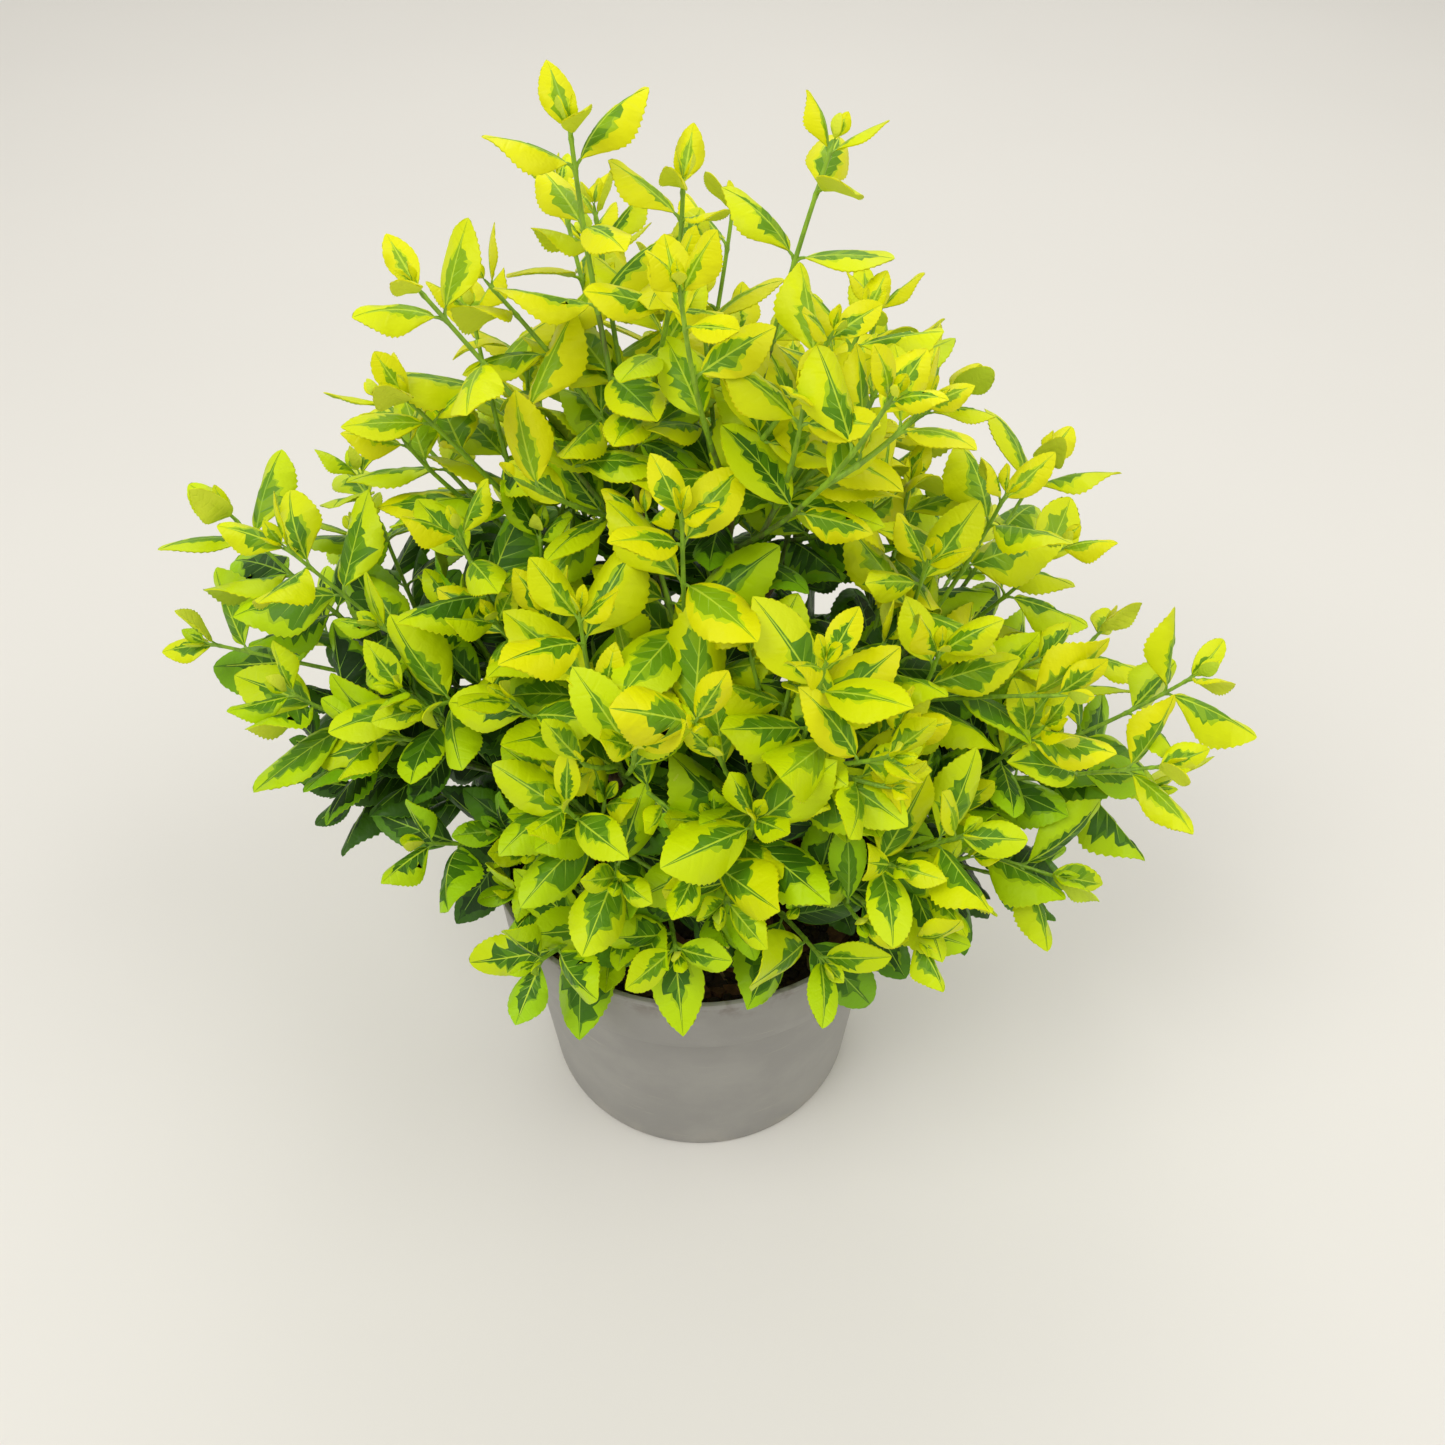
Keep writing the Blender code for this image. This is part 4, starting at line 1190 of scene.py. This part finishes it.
def leafSlots(leaves, shaded, young, low, high, zones, rng):
    # the material slot of every face, leaf by leaf
    count = len(leaves)
    first = {}
    total = 0
    for key in ("ribs", "hearts", "fringes", "margins", "backs"):
        first[key] = total
        total += len(leafShape[key])
    # shade and a low place move each part towards the darker colours of its row, partly painted shade; the top lightens
    # it a little, youth makes it yellower and chance spreads it
    marginShadeAndTone = shaded * 2.3 + low * 3.0 - high * 0.1 - young * 0.9 + rng.normal(0, 0.6, count)
    margin = np.clip(np.round(marginShadeAndTone + 0.7), 0, len(leafShape["margins"]) - 1)
    heart = np.clip(np.round(1.3 + shaded * 1.5 + low * 1.7 - high * 0.4 - young * 0.9 + rng.normal(0, 0.6, count)), 0, len(leafShape["hearts"]) - 1)
    fringe = np.clip(np.round(shaded * 1.2 + low * 1.6 - high * 0.4 + rng.uniform(-0.3, 1.2, count)), 0, len(leafShape["fringes"]) - 1)
    rib = np.clip(np.round(shaded * 0.9 + rng.normal(0, 0.3, count)), 0, len(leafShape["ribs"]) - 1)
    back = np.clip(np.round(shaded * 1.1 + low * 0.5 + rng.normal(0, 0.4, count)), 0, len(leafShape["backs"]) - 1)
    rim = np.maximum(margin - 1, 0)
    vein = np.minimum(rib + 1, len(leafShape["ribs"]) - 1)
    table = np.stack([first["ribs"] + rib, first["hearts"] + heart, first["fringes"] + fringe, first["margins"] + margin,
                      first["margins"] + rim, first["backs"] + back, first["ribs"] + vein], axis=1)
    slots = table[:, zones].astype(np.int32)
    return slots, table.astype(np.int32)


def bladePoints(leaves, traits, number, gaps, rng):
    # every corner of every blade in metres, and its place on the flat blade
    count = len(leaves)
    length = np.array([leaf["length"] for leaf in leaves])
    half = np.array([leaf["width"] for leaf in leaves]) / 2
    rise, fall = rng.uniform(0.72, 1.0, count), rng.uniform(0.70, 1.02, count)
    peak = (rise / (rise + fall)) ** rise * (fall / (rise + fall)) ** fall
    fold, cup = rng.uniform(0.10, 0.44, count), rng.uniform(0.34, 1.25, count)
    bend, twist = np.clip(rng.normal(0.45, 0.28, count), 0.02, 1.0), rng.normal(0, 0.14, count)
    ripple, phase = rng.uniform(0.0, 0.011, count), rng.uniform(0, math.tau, (2, count))
    places, chart = np.zeros((count, len(number), 3)), np.zeros((count, len(number), 2))
    for (kind, row, side, step), spot in number.items():
        steps = 4 if kind in ("edge", "lip") else 3
        share = (row + step / steps) / gaps + (leafShape["veinWidth"] if kind == "vein" else 0.0)
        skew = leafShape["skew"] * math.sin(math.pi * share)
        start = np.clip(share + skew, 0.0, 1.0)
        outer = half * start ** rise * (1 - start) ** fall / peak
        if kind in ("base", "tip", "under"):
            u = np.zeros(count)
        elif kind in ("rib", "vein"):
            u = np.clip(leafShape["ribWidth"] / length * (1.25 - share) / outer, 0.02, 0.12)
        elif kind in ("edge", "lip"):
            u = np.ones(count)
        else:
            u = traits[kind][:, 0 if side > 0 else 1, 3 * row + step]
        s = share - skew + 2 * skew * u ** 1.2
        x = side * u * outer
        if steps == 4 and step % 2:
            x = x + side * leafShape["tooth"] * (0.35 + 0.65 * math.sin(math.pi * share))
            s = s + leafShape["toothLead"] * (row < gaps - 1)
        chart[:, spot, 0], chart[:, spot, 1] = x + 0.5, s
        size = np.abs(x)
        z = fold * size - cup * size ** 2 / half
        z = z + ripple * np.sin(math.tau * 1.6 * s + phase[0 if side > 0 else 1]) * u ** 2
        if kind in ("under", "lip"):
            z = z - leafShape["keel" if kind == "under" else "edge"] / length
        angle = bend * (0.42 - s)
        y0 = (np.sin(bend * 0.42) - np.sin(angle)) / bend
        z0 = (np.cos(angle) - np.cos(bend * 0.42)) / bend
        spin = twist * s
        x, z = x * np.cos(spin) - z * np.sin(spin), x * np.sin(spin) + z * np.cos(spin)
        places[:, spot, 0] = x
        places[:, spot, 1] = y0 - z * np.sin(angle)
        places[:, spot, 2] = z0 + z * np.cos(angle)
    places *= length[:, None, None]
    axes = np.array([[leaf["across"], leaf["direction"], leaf["face"]] for leaf in leaves])
    roots = np.array([leaf["root"] for leaf in leaves])
    return np.einsum("nvk,nkj->nvj", places, axes) + roots[:, None], chart


def veinRelief(look):
    # a soft quilting, with faint side veins that run forward from the midrib and fade outwards
    chart = look.place.add("ShaderNodeUVMap", {"uv_map": "bladeChart"})
    across = chart.add("ShaderNodeSeparateXYZ", None, {0: chart}, 0)
    along = chart.add("ShaderNodeSeparateXYZ", None, {0: chart}, 1)
    aside = (across - 0.5).add("ShaderNodeMath", {"operation": "ABSOLUTE"}, {0: across - 0.5})
    bent = look.place.grain(140.0, 1.0) * 0.06
    wave = (along - aside * 0.62 + bent) * 7.0
    wave = wave.add("ShaderNodeMath", {"operation": "PINGPONG"}, {0: wave, 1: 0.5})
    fading = 1 - aside.step(0.06, 0.20)
    return wave.step(0.0, 0.20) * fading * 0.22 + look.place.grain(300.0, 2.0, 0.6)


def leafFinishes():
    looks = []
    for key, name in (("ribs", "leafRib"), ("hearts", "leafHeart"), ("fringes", "leafFringe"), ("margins", "leafMargin"), ("backs", "leafBack")):
        for number, colour in enumerate(leafShape[key]):
            rough = 0.62 if key == "backs" else 0.46
            look = Finish(f"{name}{number}", colour, rough, Specular_IOR_Level=0.20)
            look.bump(veinRelief(look), 0.00032, 0.9)
            looks.append(look.material)
    return looks


def bladeMesh(name, leaves, traits, slots, number, faces, gaps, rng):
    points, chart = bladePoints(leaves, traits, number, gaps, rng)
    count, corners = len(leaves), len(number)
    sizes = np.array([len(face) for face in faces])
    loops = np.concatenate([np.array(face) for face in faces])
    allLoops = (loops[None] + np.arange(count)[:, None] * corners).ravel()
    allSizes = np.tile(sizes, count)
    mesh = bpy.data.meshes.new(name)
    mesh.vertices.add(count * corners)
    mesh.vertices.foreach_set("co", points.ravel())
    mesh.loops.add(len(allLoops))
    mesh.loops.foreach_set("vertex_index", allLoops.astype(np.int32))
    mesh.polygons.add(len(allSizes))
    mesh.polygons.foreach_set("loop_start", np.concatenate([[0], np.cumsum(allSizes)[:-1]]).astype(np.int32))
    mesh.polygons.foreach_set("material_index", slots.ravel().astype(np.int32))
    mesh.update(calc_edges=True)
    mesh.uv_layers.new(name="bladeChart").data.foreach_set("uv", chart[:, loops].ravel())
    mesh.shade_smooth()
    mesh.set_sharp_from_angle(angle=math.radians(60))
    return mesh


def patchTraits(leaves, shaded, young, low, high, gaps, rng):
    # where the green heart and its fringe end, at each step along each side of the rib
    count, steps = len(leaves), 3 * gaps + 1
    share = np.arange(steps) / (steps - 1)
    # shade makes the dark heart longer and wider and a low place wider, partly the greener leaves inside the crown,
    # partly painted shade; youth makes it shorter and narrower, and the top narrower
    end = np.clip(0.84 + shaded * 0.08 - young * 0.14 + rng.normal(0, 0.08, count), 0.4, 0.98)
    wide = np.clip(0.61 + shaded * 0.18 + low * 0.06 - young * 0.12 - high * 0.13 + rng.normal(0, 0.11, count), 0.2, 0.92)
    wide = wide[:, None, None] * (1 + rng.normal(0, 0.20, (count, 2, 1)))
    along = np.clip(share / (end[:, None, None] * (1 + rng.normal(0, 0.07, (count, 2, 1)))), 0.0, 1.0)
    swell = (0.50 + 0.50 * np.clip(share / 0.32, 0, 1)) * (1 - along ** 3.4)
    # streaks along the side veins: some steps jut out and some fall back
    jut = rng.uniform(-0.12, 0.12, (count, 2, steps))
    kind = rng.random(jut.shape)
    jut += np.where(kind < 0.24, 0.26, np.where(kind > 0.76, -0.30, 0.0)) * rng.uniform(0.5, 1.2, jut.shape)
    heart = np.clip(wide * swell * (1 + jut), 0.09, 0.88)
    fringe = heart + (0.03 + rng.uniform(0.0, 0.17, heart.shape)) * np.clip(swell * 4, 0.15, 1)
    return {"heart": heart, "fringe": np.clip(fringe, heart + 0.012, 0.95)}


def makeLeaves():
    looks = leafFinishes()
    rng = np.random.default_rng(77)
    shaded, young, low, high = leafTraits(crown.leaves, rng)
    owner = np.array([leaf["shoot"] for leaf in crown.leaves])
    small = np.array([leaf["length"] < leafShape["smallUnder"] for leaf in crown.leaves])
    for stem in plant["stems"]:
        carried = [number for number, shoot in enumerate(shoots) if shoot.stem == stem]
        meshes = []
        for gaps, chosen in ((leafShape["gaps"], ~small), (leafShape["smallGaps"], small)):
            picks = np.nonzero(np.isin(owner, carried) & chosen)[0]
            leaves = [crown.leaves[i] for i in picks]
            number, faces, zones, places = bladeTopology(gaps)
            traits = patchTraits(leaves, shaded[picks], young[picks], low[picks], high[picks], gaps, rng)
            slots, table = leafSlots(leaves, shaded[picks], young[picks], low[picks], high[picks], zones, rng)
            # past the heart's end the rib takes the margin's colour, and the fringe is broken here and there
            past = places[None] > 0.86 + rng.uniform(-0.07, 0.07, slots.shape)
            slots = np.where(past & (zones == 0)[None], table[:, 3:4], slots)
            speck = rng.random(slots.shape)
            slots = np.where((speck < 0.10) & (zones == 2)[None], table[:, 3:4], slots)
            slots = np.where((speck > 0.76) & (zones == 2)[None], table[:, 1:2], slots)
            paler = np.maximum(table[:, 1:2] - 1, len(leafShape["ribs"]))
            slots = np.where((speck > 0.68) & (zones == 1)[None], paler, slots)
            meshes.append(bladeMesh("blades", leaves, traits, slots, number, faces, gaps, rng))
        name = "leaves_" + stem.replace("stem_", "")
        pieces = [addPiece(name, meshes[0], looks), addPiece("smallBlades", meshes[1], looks)]
        piece = joinPieces(pieces)
        placePiece(piece, ["foliage_" + shoots[i].name for i in carried])
        triangles = sum(len(p.vertices) - 2 for p in piece.data.polygons)
        print(name, len(piece.data.polygons), "faces,", triangles, "triangles")


def joinPieces(pieces):
    bpy.ops.object.select_all(action="DESELECT")
    for piece in pieces:
        piece.select_set(True)
    bpy.context.view_layer.objects.active = pieces[0]
    bpy.ops.object.join()
    return pieces[0]


makeLeaves()
